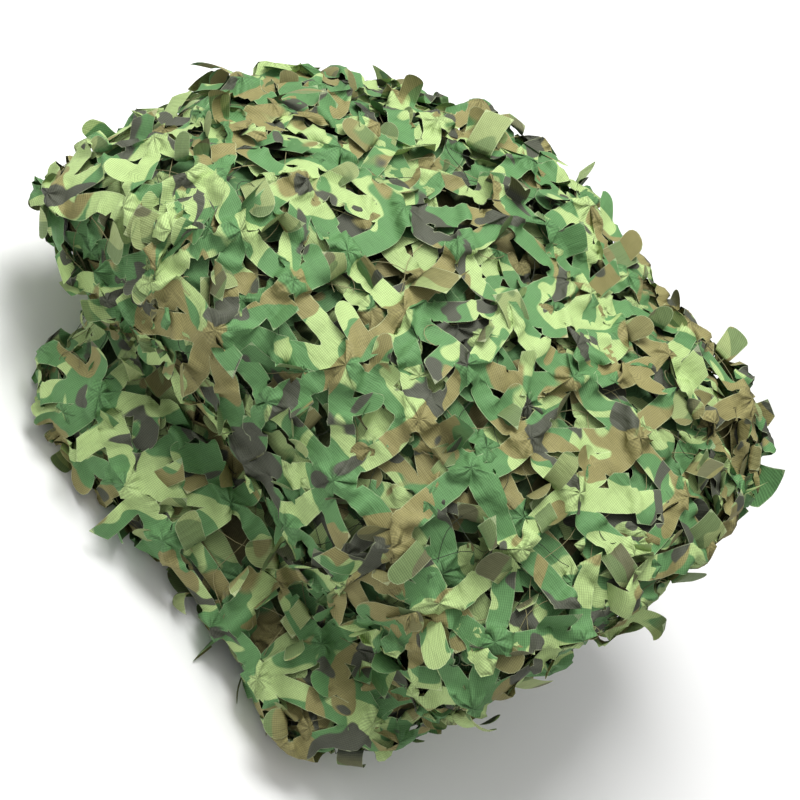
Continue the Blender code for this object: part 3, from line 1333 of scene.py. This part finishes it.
@dataclass
class RaftMap:
    """A grid of places and normals over the skin, true to length from the raft's middle.

    Each grid place also knows how deep it lies inside every raft, its own among them.
    """

    raft: Raft
    places: np.ndarray
    normals: np.ndarray
    number: int = 0
    depths: np.ndarray = field(default_factory=lambda: np.zeros(0))

    def own_depth(self) -> np.ndarray:
        """Measure how far each grid place lies from the raft's nearest edge.

        Returns:
            The grid of depths, below zero outside.
        """
        rows, cols = self.places.shape[:2]
        x = np.abs(np.arange(rows) - (rows - 1) / 2) * self.raft.pitch
        y = np.abs(np.arange(cols) - (cols - 1) / 2) * self.raft.pitch
        return np.minimum.outer(self.raft.width / 2 - x, self.raft.length / 2 - y)

    def _grid(self, flat: np.ndarray) -> list[np.ndarray]:
        """Turn flat points into grid rows and columns, not yet whole numbers."""
        return [flat[:, k] / self.raft.pitch + (self.places.shape[k] - 1) / 2 for k in (0, 1)]

    def claim(self, flat: np.ndarray, bias: np.ndarray) -> np.ndarray:
        """Tell how much deeper flat points lie in this raft than in any other.

        Args:
            flat: Points from the raft's middle, in metres.
            bias: A head start for each raft.

        Returns:
            The lead over the best other raft, above zero where this raft covers the skin.
        """
        rivals = self.depths + bias[:, None, None]
        lead = rivals[self.number] - np.delete(rivals, self.number, axis=0).max(axis=0)
        rows, cols = lead.shape
        x, y = (np.round(v).astype(int) for v in self._grid(flat))
        known = (x >= 0) & (x < rows) & (y >= 0) & (y < cols)
        return np.where(known, lead[np.clip(x, 0, rows - 1), np.clip(y, 0, cols - 1)], OUTSIDE)

    def at(self, flat: np.ndarray, height: np.ndarray) -> tuple[np.ndarray, np.ndarray]:
        """Lay flat points over the skin.

        Args:
            flat: Points from the raft's middle, in metres.
            height: Their heights over the skin.

        Returns:
            Places in the world and the skin's normals there.
        """
        # Every place needs a whole cell of the grid, so x and y stop just short of the last row.
        x, y = (np.clip(v, 0, count - 1.001) for v, count in zip(self._grid(flat), self.places.shape))
        i, j = x.astype(int), y.astype(int)
        a, b = (x - i)[:, None], (y - j)[:, None]
        place, normal = (
            g[i, j] * (1 - a) * (1 - b) + g[i + 1, j] * a * (1 - b)
            + g[i, j + 1] * (1 - a) * b + g[i + 1, j + 1] * a * b
            for g in (self.places, self.normals))
        normal /= np.linalg.norm(normal, axis=1)[:, None]
        return place + normal * height[:, None], normal


@dataclass
class Raft:
    """One window of the cloth on the bundle: where it sits and how far it reaches."""

    name: str
    aim: Way
    outward: Way
    along: Way
    width: float
    length: float
    pitch: float = 0.012
    rounds: int = 8
    sweeps: int = 8
    pull: float = 0.22
    evenings: int = 3
    old_way: float = 0.3
    new_way: float = 0.7
    least_step: float = 0.2

    def unroll(self, skin: BundleSkin) -> RaftMap:
        """March over the skin from the seat, first along a spine and then to both sides.

        Args:
            skin: The bundle's skin.

        Returns:
            The map of the raft.
        """
        seat, normal = skin.seat(self.aim, self.outward)
        along = Vector(self.along)
        along = (along - normal * along.dot(normal)).normalized()
        half_rows, half_cols = (math.ceil(size / 2 / self.pitch) + 2 for size in (self.width, self.length))
        spine = self._march(skin, seat, -along, half_rows)[::-1]
        spine = [(p, n, -d) for p, n, d in spine[:-1]] + self._march(skin, seat, along, half_rows)
        rows = []
        for place, up, ahead in spine:
            side = up.cross(ahead).normalized()
            low = self._march(skin, place, -side, half_cols)[::-1]
            high = self._march(skin, place, side, half_cols)
            rows.append([(p, n) for p, n, _ in low[:-1] + high])
        places = np.array([[p[:] for p, _ in row] for row in rows])
        normals = np.array([[n[:] for _, n in row] for row in rows])
        for _ in range(self.rounds):
            for _ in range(self.sweeps):
                self._spread(places)
            for spot in np.ndindex(places.shape[:2]):
                place, normal, _, _ = skin.tree.find_nearest(places[spot])
                places[spot], normals[spot] = place, normal
        for _ in range(self.evenings):
            places, normals = self._evened(places), self._evened(normals)
        return RaftMap(self, places, normals)

    def _spread(self, places: np.ndarray) -> None:
        """Draw each grid place towards its true distance from its neighbours.

        Args:
            places: The grid's places, moved in place.
        """
        corner = self.pitch * math.sqrt(2)
        for a, b, rest in ((places[:-1], places[1:], self.pitch),
                           (places[:, :-1], places[:, 1:], self.pitch),
                           (places[:-1, :-1], places[1:, 1:], corner),
                           (places[1:, :-1], places[:-1, 1:], corner)):
            gap = b - a
            move = gap * (self.pull * (1 - rest / (np.linalg.norm(gap, axis=2, keepdims=True) + TINY)))
            a += move
            b -= move

    def _march(self, skin: BundleSkin, start: Vector, way: Vector, count: int
               ) -> list[tuple[Vector, Vector, Vector]]:
        """Walk straight over the skin.

        Args:
            skin: The bundle's skin.
            start: The first place.
            way: The first direction.
            count: How many steps.

        Returns:
            Place, normal and direction at the start and after each step.
        """
        place, normal, _, _ = skin.tree.find_nearest(start)
        track = [(place, normal, way)]
        for _ in range(count):
            ahead, up, _, _ = skin.tree.find_nearest(place + way * self.pitch)
            moved = ahead - place
            moved = moved - up * moved.dot(up)
            if moved.length > self.pitch * self.least_step:
                way = (way * self.old_way + moved.normalized() * self.new_way).normalized()
            place = ahead
            track.append((place, up, way))
        return track

    @staticmethod
    def _evened(grid: np.ndarray) -> np.ndarray:
        """Average a grid with its neighbours, keeping its size."""
        wide = np.pad(grid, ((1, 1), (1, 1), (0, 0)), mode="reflect", reflect_type="odd")
        return (wide[:-2, 1:-1] + wide[2:, 1:-1] + wide[1:-1, :-2] + wide[1:-1, 2:] + 4 * grid) / 8


def unroll_all(rafts: tuple[Raft, ...], skin: BundleSkin, nearest: float = 0.020) -> list[RaftMap]:
    """Unroll every raft and measure how they overlap.

    Args:
        rafts: The rafts.
        skin: The bundle's skin.
        nearest: How near another raft's grid must come to count as the same place.

    Returns:
        The maps, which know each other's depths.
    """
    charts = [raft.unroll(skin) for raft in rafts]
    trees, depths = [], []
    for chart in charts:
        log.info("%s: %d by %d places", chart.raft.name, *chart.places.shape[:2])
        places = chart.places.reshape(-1, 3)
        tree = KDTree(len(places))
        for k, place in enumerate(places):
            tree.insert(place, k)
        tree.balance()
        trees.append(tree)
        depths.append(chart.own_depth().ravel())
    for own, chart in enumerate(charts):
        places = chart.places.reshape(-1, 3)
        chart.number = own
        chart.depths = np.full((len(charts), len(places)), OUTSIDE)
        chart.depths[own] = depths[own]
        for other in range(len(charts)):
            if other == own:
                continue
            for k, place in enumerate(places):
                _, found, gap = trees[other].find(place)
                if gap < nearest:
                    chart.depths[other, k] = depths[other][found]
        chart.depths = chart.depths.reshape(len(charts), *chart.places.shape[:2])
    return charts


# ---------------------------------------------------------------- pieces


def new_piece(name: str, points: np.ndarray, faces: np.ndarray, uv: np.ndarray,
              marks: dict[str, np.ndarray], material: bpy.types.Material,
              stitch: np.ndarray | None = None) -> bpy.types.Object:
    """Make a mesh piece with cloth coordinates and point attributes.

    Args:
        name: The piece's name.
        points: Its points.
        faces: Its triangles or quads.
        uv: Cloth coordinates, one row a point.
        marks: Point attributes by name.
        material: Its finish.
        stitch: Each point's flat offset from its nearest stitch; far from any where left out.

    Returns:
        The linked object.
    """
    mesh = bpy.data.meshes.new(name)
    mesh.from_pydata(points.tolist(), [], faces.tolist())
    mesh.update()
    corner = np.zeros(len(mesh.loops), np.int32)
    mesh.loops.foreach_get("vertex_index", corner)
    offset = np.ones((len(points), 2)) if stitch is None else stitch
    for layer, values in ((CLOTH_UV, uv), (STITCH_UV, offset)):
        mesh.uv_layers.new(name=layer).data.foreach_set("uv", values[corner].astype(np.float32).ravel())
    for key, values in {**marks, STITCH_GAP: np.linalg.norm(offset, axis=1)}.items():
        mesh.attributes.new(key, "FLOAT", "POINT").data.foreach_set("value", values.astype(np.float32))
    mesh.materials.append(material)
    mesh.shade_smooth()
    piece = bpy.data.objects.new(name, mesh)
    bpy.context.scene.collection.objects.link(piece)
    return piece


def dress(piece: bpy.types.Object) -> None:
    """Tie a piece to the folded solid that it stands for.

    Args:
        piece: The piece.
    """
    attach(piece, BODY)
    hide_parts(NODE)


class Depth(Enum):
    """How deep a layer lies: height over the skin, how much of its relief is left, and its draw."""

    OUTER = (0.009, 1.0, 11)
    MIDDLE = (-0.002, 0.80, 23)
    INNER = (-0.014, 0.60, 31)


@dataclass
class GarnishLayer:
    """One layer of cut cloth over the whole bundle, made of windows of the settled cloth."""

    name: str
    depth: Depth
    finish: GarnishFinish
    pattern_turn: float = 4.0
    turn_spread: float = 4.0
    print_spread: float = 5.0
    overlap: float = 0.012
    seam_shift: float = 0.025
    most_stretch: float = 1.8
    slack: float = 0.003
    lowest: float = 0.0006

    def build(self, cloth: FlatCloth, charts: list[RaftMap]) -> bpy.types.Object:
        """Lay the windows and join them.

        Args:
            cloth: The settled cloth.
            charts: The rafts' maps.

        Returns:
            The layer's piece.
        """
        draw = np.random.default_rng(self.depth.value[2])
        bias = draw.uniform(0, self.seam_shift, len(charts))
        parts, area = [], 0.0
        for chart in charts:
            part, part_area = self._window(cloth, chart, bias, draw)
            parts.append(part)
            area += part_area
        points, tris, places, marks = join(parts)
        points[:, 2] = np.maximum(points[:, 2], self.lowest)
        # The border mark pales the cut edges, partly as painted highlight.
        piece = new_piece(self.name, points, tris, places[:, :2],
                          {REVERSE: marks[:, 0], RIM_AND_HIGHLIGHT: marks[:, 1]}, self.finish.material(), places[:, 2:])
        dress(piece)
        log.info("%s: %d triangles, %.2f m2 of flat cloth", self.name, len(tris), area)
        return piece

    def _window(self, cloth: FlatCloth, chart: RaftMap, bias: np.ndarray, draw: np.random.Generator
                ) -> tuple[tuple[np.ndarray, ...], float]:
        """Cut one window out of the settled cloth and lay it over the skin.

        Args:
            cloth: The settled cloth.
            chart: The raft's map.
            bias: A head start for each raft where two overlap.
            draw: The random draw.

        Returns:
            Its points, triangles, cloth coordinates and marks, and its flat area.
        """
        height, relief, _ = self.depth.value
        middle = (cloth.settled[:, :2].max(axis=0) + cloth.settled[:, :2].min(axis=0)) / 2
        flip = draw.choice([-1.0, 1.0])
        angle = math.radians(self.pattern_turn + draw.normal(0, self.turn_spread)
                             + draw.choice([0, 90, 180, 270]))
        turn = np.array([[math.cos(angle), -math.sin(angle)], [math.sin(angle), math.cos(angle)]])
        spare = np.maximum(middle - 0.5 * math.hypot(chart.raft.width, chart.raft.length), 0)
        centre = middle + draw.uniform(-1, 1, 2) * spare
        flat = (cloth.settled[:, :2] - centre) @ turn.T * np.array([flip, 1.0])
        place, normal = chart.at(flat, cloth.settled[:, 2] * relief + height)
        old_tris = cloth.tris[self._kept_strips(cloth, flat, chart, bias) & self._whole(cloth, place)]
        used, renumbered = points_of(old_tris, len(flat))
        place, tris = place[used], renumbered[old_tris]
        if flip < 0:
            tris = tris[:, ::-1]
        turned = self._turned(place, normal[used], tris)
        places = np.c_[cloth.uv[used] + draw.uniform(0, self.print_spread, 2), cloth.stitch_offset[used]]
        corners = cloth.uv[old_tris]
        sides = corners[:, 1:] - corners[:, :1]
        area = float(np.abs(sides[:, 0, 0] * sides[:, 1, 1] - sides[:, 0, 1] * sides[:, 1, 0]).sum() / 2)
        return (place, tris, places, np.c_[turned, cloth.border[used]]), area

    @staticmethod
    def _turned(place: np.ndarray, normal: np.ndarray, tris: np.ndarray) -> np.ndarray:
        """Tell how far the cloth is turned over, so that its reverse shows.

        Args:
            place: Where its points lie.
            normal: The skin's normals there.
            tris: Its triangles.

        Returns:
            Zero at each point that faces out, and one at each that faces in.
        """
        ends = place[tris]
        facing = np.cross(ends[:, 1] - ends[:, 0], ends[:, 2] - ends[:, 0])
        total = np.stack([np.bincount(tris.ravel(), np.repeat(facing[:, k], 3), len(place))
                          for k in range(3)], axis=1)
        return 0.5 - 0.5 * (unit_rows(total) * normal).sum(axis=1)

    def _whole(self, cloth: FlatCloth, place: np.ndarray) -> np.ndarray:
        """Tell where the cloth isn't drawn out far past its flat length.

        Args:
            cloth: The settled cloth.
            place: Where its points lie.

        Returns:
            True for each whole triangle.
        """
        sides = cloth.tris[:, [0, 1, 2, 0]]
        drawn, flat = (np.linalg.norm(np.diff(points[sides], axis=1), axis=2)
                       for points in (place, cloth.uv))
        return (drawn < self.most_stretch * flat + self.slack).all(axis=1)

    def _kept_strips(self, cloth: FlatCloth, flat: np.ndarray, chart: RaftMap, bias: np.ndarray
                     ) -> np.ndarray:
        """Choose the whole strips of cloth that this raft covers.

        Args:
            cloth: The settled cloth.
            flat: Its points from the raft's middle.
            chart: The raft's map.
            bias: A head start for each raft.

        Returns:
            True for each triangle that stays.
        """
        centres = flat[cloth.tris].mean(axis=1)
        _, index, uses = np.unique(cloth.strips, return_inverse=True, return_counts=True)
        index = index.ravel()
        middles = np.stack([np.bincount(index, centres[:, k]) for k in (0, 1)], axis=1) / uses[:, None]
        far = np.sqrt(np.bincount(index, ((centres - middles[index]) ** 2).sum(axis=1)) / uses)
        kept = (chart.claim(middles, bias) > -self.overlap) & (far < STITCH_PITCH)
        return kept[index]


@dataclass
class InnerFolds:
    """The deeper folds of the net, seen only in the gaps: one crumpled sheet, open under it, in colours
    darkened as painted shade.
    """

    finish: GarnishFinish
    depth: float = 0.034
    crumple: float = 0.006
    coarse_wave: float = 0.05
    fine_wave: float = 0.025
    fine_share: float = 0.6
    seeds: tuple[int, int] = (41, 43)
    foot: float = 0.012
    lowest: float = 0.002
    print_shear: Pair = (0.5, -0.6)
    reverse: float = 0.5
    name: str = "inner_folds"

    def build(self, skin: BundleSkin) -> bpy.types.Object:
        """Shrink and crumple the skin.

        Args:
            skin: The bundle's skin.

        Returns:
            The piece.
        """
        work = bmesh.new()
        corners = [work.verts.new(p) for p in skin.points]
        for quad in skin.quads.tolist():
            work.faces.new([corners[k] for k in quad])
        low = [v for v in work.verts if v.co.z < self.foot]
        bmesh.ops.delete(work, geom=low, context="VERTS")
        bmesh.ops.subdivide_edges(work, edges=work.edges, cuts=1, use_grid_fill=True)
        work.normal_update()
        work.verts.index_update()
        points = np.array([v.co[:] for v in work.verts])
        normals = np.array([v.normal[:] for v in work.verts])
        faces = np.array([[v.index for v in f.verts] for f in work.faces])
        work.free()
        crease = (1 - np.abs(smooth_noise(points, self.coarse_wave, self.seeds[0]))
                  + self.fine_share * smooth_noise(points, self.fine_wave, self.seeds[1]))
        points += normals * (self.crumple * crease - self.depth)[:, None]
        points[:, 2] = np.maximum(points[:, 2], self.lowest)
        uv = points[:, [0, 2]] + points[:, 1:2] * np.array(self.print_shear)
        marks = {REVERSE: np.full(len(points), self.reverse), RIM_AND_HIGHLIGHT: np.zeros(len(points))}
        piece = new_piece(self.name, points, faces, uv, marks, self.finish.material())
        dress(piece)
        corners = points[faces]
        return piece


@dataclass
class CarrierNet:
    """The square net of thin twine that the cloth is stitched to, with the stitches' loose loops."""

    finish: TwineFinish
    seed: int = 77
    radius: float = 0.0004
    sides: int = 3
    tones: tuple[float, ...] = (0.1, 0.35, 0.95)
    height: float = -0.005
    lowest: float = 0.001
    step: float = 0.010
    most_step: float = 1.4
    least_points: int = 5
    overlap: float = 0.005
    headings: Pair = (38.0, 128.0)
    heading_spread: float = 6.0
    mesh: float = STITCH_PITCH * 0.6
    mesh_spread: float = 0.012
    sway: float = 0.010
    sway_wave: float = 0.12
    lift: float = 0.0015
    lift_wave: float = 0.10
    drift_terms: int = 6
    loops: int = 70
    loop_field: float = 0.46
    loop_radius: Pair = (0.006, 0.015)
    loop_turn: Pair = (2.5, 6.5)
    loop_growth: Pair = (0.6, 1.3)
    loop_flat: Pair = (0.5, 1.0)
    loop_lift: float = 0.008
    loop_lifts: Pair = (0.3, 1.0)
    loop_points: int = 14
    name: str = "carrier_twine"

    def build(self, charts: list[RaftMap]) -> bpy.types.Object:
        """Run the twines over every raft and add the loose loops.

        Args:
            charts: The rafts' maps.

        Returns:
            The joined piece.
        """
        draw = np.random.default_rng(self.seed)
        tubes = []
        level = np.zeros(len(charts))
        for chart in charts:
            for line in self._lines(chart.raft, draw) + self._loose(chart.raft, draw):
                spot, _ = chart.at(line[:, :2], line[:, 2])
                drawn = np.linalg.norm(np.diff(spot, axis=0, prepend=spot[:1]), axis=1)
                kept = ((chart.claim(line[:, :2], level) > -self.overlap)
                        & (drawn < self.most_step * self.step))
                for run in np.split(np.arange(len(line)), np.flatnonzero(np.diff(kept)) + 1):
                    if kept[run[0]] and len(run) >= self.least_points:
                        tubes.append(self._tube(chart, line[run], draw))
        points, quads, uv, tone = join(tubes)
        points[:, 2] = np.maximum(points[:, 2], self.lowest)
        piece = new_piece(self.name, points, quads, uv, {REVERSE: tone}, self.finish.material())
        dress(piece)
        log.info("%s: %d quads in %d twines", self.name, len(quads), len(tubes))
        return piece

    def _lines(self, raft: Raft, draw: np.random.Generator) -> list[np.ndarray]:
        """Lay the square net over a raft, a little uneven.

        Args:
            raft: The raft.
            draw: The random draw.

        Returns:
            Lines of flat points with heights.
        """
        lines = []
        reach = math.hypot(raft.width, raft.length) / 2
        run = np.arange(-reach, reach, self.step)
        for heading in self.headings:
            angle = math.radians(heading + draw.normal(0, self.heading_spread))
            along = np.array([math.cos(angle), math.sin(angle)])
            across = np.array([-along[1], along[0]])
            for offset in np.arange(-reach, reach, self.mesh):
                sway = self.sway * self._drift(run, self.sway_wave, draw)
                aside = offset + draw.normal(0, self.mesh_spread) + sway
                flat = run[:, None] * along + aside[:, None] * across
                lift = self.height + self.lift * self._drift(run, self.lift_wave, draw)
                inside = (np.abs(flat) < np.array([raft.width, raft.length]) / 2).all(axis=1)
                kept = np.flatnonzero(inside)
                if len(kept) >= self.least_points:
                    lines.append(np.c_[flat, lift][kept[0]:kept[-1] + 1])
        return lines

    def _drift(self, run: np.ndarray, wave: float, draw: np.random.Generator) -> np.ndarray:
        """Wander smoothly along a twine, on a seed of its own."""
        return smooth_noise(run[:, None], wave, int(draw.integers(1 << 30)), self.drift_terms)

    def _loose(self, raft: Raft, draw: np.random.Generator) -> list[np.ndarray]:
        """Curl short thread ends at some of the stitches.

        Args:
            raft: The raft.
            draw: The random draw.

        Returns:
            Lines of flat points with heights.
        """
        lines = []
        size = np.array([raft.width, raft.length])
        arch = np.sin(np.linspace(0, math.pi, self.loop_points))
        for _ in range(round(self.loops * raft.width * raft.length)):
            middle = draw.uniform(-self.loop_field, self.loop_field, 2) * size
            grow = np.linspace(*self.loop_growth, self.loop_points) * draw.uniform(*self.loop_radius)
            turn = np.linspace(0, draw.uniform(*self.loop_turn), self.loop_points)
            turn += draw.uniform(0, math.tau)
            flat = middle + np.c_[np.cos(turn) * grow,
                                  np.sin(turn) * grow * draw.uniform(*self.loop_flat)]
            lift = self.height + self.loop_lift * arch * draw.uniform(*self.loop_lifts)
            lines.append(np.c_[flat, lift])
        return lines

    def _tube(self, chart: RaftMap, line: np.ndarray, draw: np.random.Generator
              ) -> tuple[np.ndarray, np.ndarray, np.ndarray, np.ndarray]:
        """Sweep a thin tube along a line.

        Args:
            chart: The raft's map.
            line: Flat points with heights.
            draw: The random draw.

        Returns:
            Points, quads, cloth coordinates and tones.
        """
        place, normal = chart.at(line[:, :2], line[:, 2])
        ahead = unit_rows(np.gradient(place, axis=0))
        side = unit_rows(np.cross(ahead, normal))
        up = np.cross(side, ahead)
        angles = np.arange(self.sides) * math.tau / self.sides
        ring = (place[:, None] + self.radius * (np.cos(angles)[None, :, None] * side[:, None]
                                                + np.sin(angles)[None, :, None] * up[:, None]))
        first = np.arange(len(place) - 1)[:, None] * self.sides
        quads = []
        for k in range(self.sides):
            after = (k + 1) % self.sides
            quads.append(first + np.array([k, after, after + self.sides, k + self.sides]))
        run = np.r_[0, np.cumsum(np.linalg.norm(np.diff(place, axis=0), axis=1))]
        uv = np.stack([np.repeat(run, self.sides), np.tile(angles * self.radius, len(place))], axis=1)
        tone = np.full(len(uv), draw.choice(self.tones))
        return ring.reshape(-1, 3), np.concatenate(quads), uv, tone


# ---------------------------------------------------------------- stage, light and camera


@dataclass(frozen=True)
class SoftBox:
    """A soft box: its way from the bundle as right, up and towards the camera, and its light."""

    name: str
    way: Way
    far: float
    size: float
    power: float

    def hang(self, pose: Matrix, target: Vector) -> None:
        """Hang the box, aimed at the bundle.

        Args:
            pose: The camera's pose, whose axes the way is given in.
            target: What it is aimed at.
        """
        lamp = bpy.data.objects.new(self.name, bpy.data.lights.new(self.name, "AREA"))
        lamp.data.energy = self.power
        lamp.data.size = self.size
        way_out = (pose.to_3x3() @ Vector(self.way)).normalized()
        lamp.location = target + way_out * self.far
        lamp.rotation_euler = way_out.to_track_quat("Z", "Y").to_euler()
        bpy.context.scene.collection.objects.link(lamp)


@dataclass
class Studio:
    """A white sweep, soft light all round and the camera above the bundle."""

    azimuth: float = 0.0
    elevation: float = 42.0
    roll: float = 53.5
    distance: float = 2.6
    lens: float = 118.5
    sensor: float = 36.0
    shift_right: float = 0.04
    shift_up: float = -0.010
    frame_shift: Pair = (-0.0143, -0.0065)
    sweep: float = 12.0
    room_light: float = 0.48
    target: Way = (0.0, 0.0, 0.2)
    boxes: tuple[SoftBox, ...] = (
        SoftBox("key_softbox", (0.30, 0.72, 0.63), 2.6, 1.3, 84.0),
        SoftBox("fill_softbox", (0.15, 0.45, 0.85), 2.8, 2.0, 12.0),
    )

    def build(self) -> None:
        """Set the stage, the camera and the lights."""
        pose = self._camera()
        self._floor()
        self._world()
        for box in self.boxes:
            box.hang(pose, Vector(self.target))
        log.info("studio: camera at %s", [round(v, 3) for v in pose.translation])

    def _camera(self) -> Matrix:
        """Place the camera.

        Returns:
            The camera's pose.
        """
        low, high = (Vector(corner) for corner in CAD_BOUNDS)
        azimuth, elevation, roll = (math.radians(v) for v in (self.azimuth, self.elevation, self.roll))
        view = Vector((math.sin(azimuth) * math.cos(elevation),
                       -math.cos(azimuth) * math.cos(elevation), math.sin(elevation)))
        right = (-view).cross(Vector((0, 0, 1))).normalized()
        up = right.cross(-view)
        pose = Matrix((right * math.cos(roll) + up * math.sin(roll),
                       up * math.cos(roll) - right * math.sin(roll), view)).transposed().to_4x4()
        pose.translation = ((low + high) / 2 + view * self.distance + right * self.shift_right
                            + up * self.shift_up)
        camera = bpy.data.objects.new("camera", bpy.data.cameras.new("camera"))
        camera.data.lens = self.lens
        camera.data.sensor_width = self.sensor
        camera.data.shift_x, camera.data.shift_y = self.frame_shift
        camera.matrix_world = pose
        bpy.context.scene.collection.objects.link(camera)
        bpy.context.scene.camera = camera
        return pose

    def _floor(self) -> None:
        """Lay the paper sweep."""
        bpy.ops.object.select_all(action="DESELECT")
        bpy.ops.mesh.primitive_plane_add(size=self.sweep, location=(0, 0, 0))
        floor = bpy.context.object
        floor.name = "paper_sweep"
        floor.data.materials.append(StageFinish().material())

    def _world(self) -> None:
        """Fill the room with even white light."""
        world = bpy.data.worlds.new("white_room")
        bpy.context.scene.world = world
        world.use_nodes = True
        background = world.node_tree.nodes["Background"]
        background.inputs["Color"].default_value = linear("ffffff")
        background.inputs["Strength"].default_value = self.room_light
        bpy.context.scene.view_settings.view_transform = "Standard"


# ---------------------------------------------------------------- the net

X_WAY = (1.0, 0.0, 0.0)
Y_WAY = (0.0, 1.0, 0.0)

RAFTS = (
    # name, aim, outward, along, width, length
    Raft("crown_front", (0.00, 0.00, 0.26), (0.00, -0.75, 0.66), X_WAY, 0.74, 0.50),
    Raft("crown_back", (0.00, 0.05, 0.25), (0.00, 0.75, 0.66), X_WAY, 0.72, 0.44),
    Raft("back_foot", (0.02, 0.05, 0.10), (0.00, 1.00, 0.00), X_WAY, 0.70, 0.30),
    Raft("left_end", (-0.10, 0.00, 0.24), (-1.00, 0.00, 0.20), Y_WAY, 0.44, 0.34),
    Raft("right_end", (0.10, 0.00, 0.25), (1.00, 0.00, 0.20), Y_WAY, 0.46, 0.34),
    Raft("left_foot", (0.00, 0.00, 0.08), (-1.00, 0.00, -0.10), Y_WAY, 0.44, 0.24),
    Raft("right_foot", (0.10, 0.00, 0.08), (1.00, 0.00, 0.00), Y_WAY, 0.46, 0.22),
    Raft("low_front", (0.07, 0.00, 0.055), (0.00, -1.00, 0.10), X_WAY, 0.60, 0.20),
    Raft("left_shoulder", (-0.14, -0.04, 0.25), (-0.80, -0.60, 0.10), Y_WAY, 0.34, 0.34),
    Raft("right_shoulder", (0.14, -0.04, 0.24), (0.80, -0.60, 0.20), Y_WAY, 0.34, 0.36),
    Raft("left_back", (-0.14, 0.06, 0.20), (-0.80, 0.60, 0.10), Y_WAY, 0.32, 0.36),
    Raft("right_back", (0.14, 0.06, 0.18), (0.80, 0.60, 0.10), Y_WAY, 0.32, 0.36),
    Raft("underside", (0.06, 0.00, 0.10), (0.00, 0.00, -1.00), X_WAY, 0.52, 0.40),
)


@dataclass
class FoldedNet:
    """The whole net: the cut cloth, its layers, its inner folds and its twine."""

    sheet_side: float = 1.00
    spacing: float = 0.0065
    seed: int = 3

    def build(self) -> None:
        """Cut and settle the cloth, then lay it over the bundle."""
        draw = np.random.default_rng(self.seed)
        die, settler = DieCut(), Settler()
        cloth = die.cut_sheet(self.sheet_side / die.gather, self.spacing, draw)
        log.info("cut cloth: %d points, %d tongues", len(cloth.uv), len(cloth.tongues))
        settler.settle(cloth, die.gather, draw)
        TongueLifter().lift(cloth, draw)
        log.info("settled: heights %.3f to %.3f", cloth.settled[:, 2].min(), cloth.settled[:, 2].max())
        skin = BundleSkin()
        charts = unroll_all(RAFTS, skin)
        log.info("skin: %d points, %d rafts", len(skin.points), len(charts))
        # Each deeper layer takes a darker copy of the finish, as painted shade.
        for name, depth, painted_shade in (("garnish_outer", Depth.OUTER, 1.0),
                                   ("garnish_middle", Depth.MIDDLE, 0.88),
                                   ("garnish_inner", Depth.INNER, 0.72)):
            finish = GarnishFinish(f"printed_{name}", painted_shade=painted_shade)
            GarnishLayer(name, depth, finish).build(cloth, charts)
        # The inner folds take the darkest copy of the finish, as painted shade.
        InnerFolds(GarnishFinish("printed_inner_folds", painted_shade=0.45)).build(skin)
        CarrierNet(TwineFinish()).build(charts)


def main() -> None:
    """Build the studio and the net."""
    logging.basicConfig(level=logging.INFO, format="%(relativeCreated)7d ms %(message)s")
    Studio().build()
    FoldedNet().build()


if __name__ == "__main__":
    main()
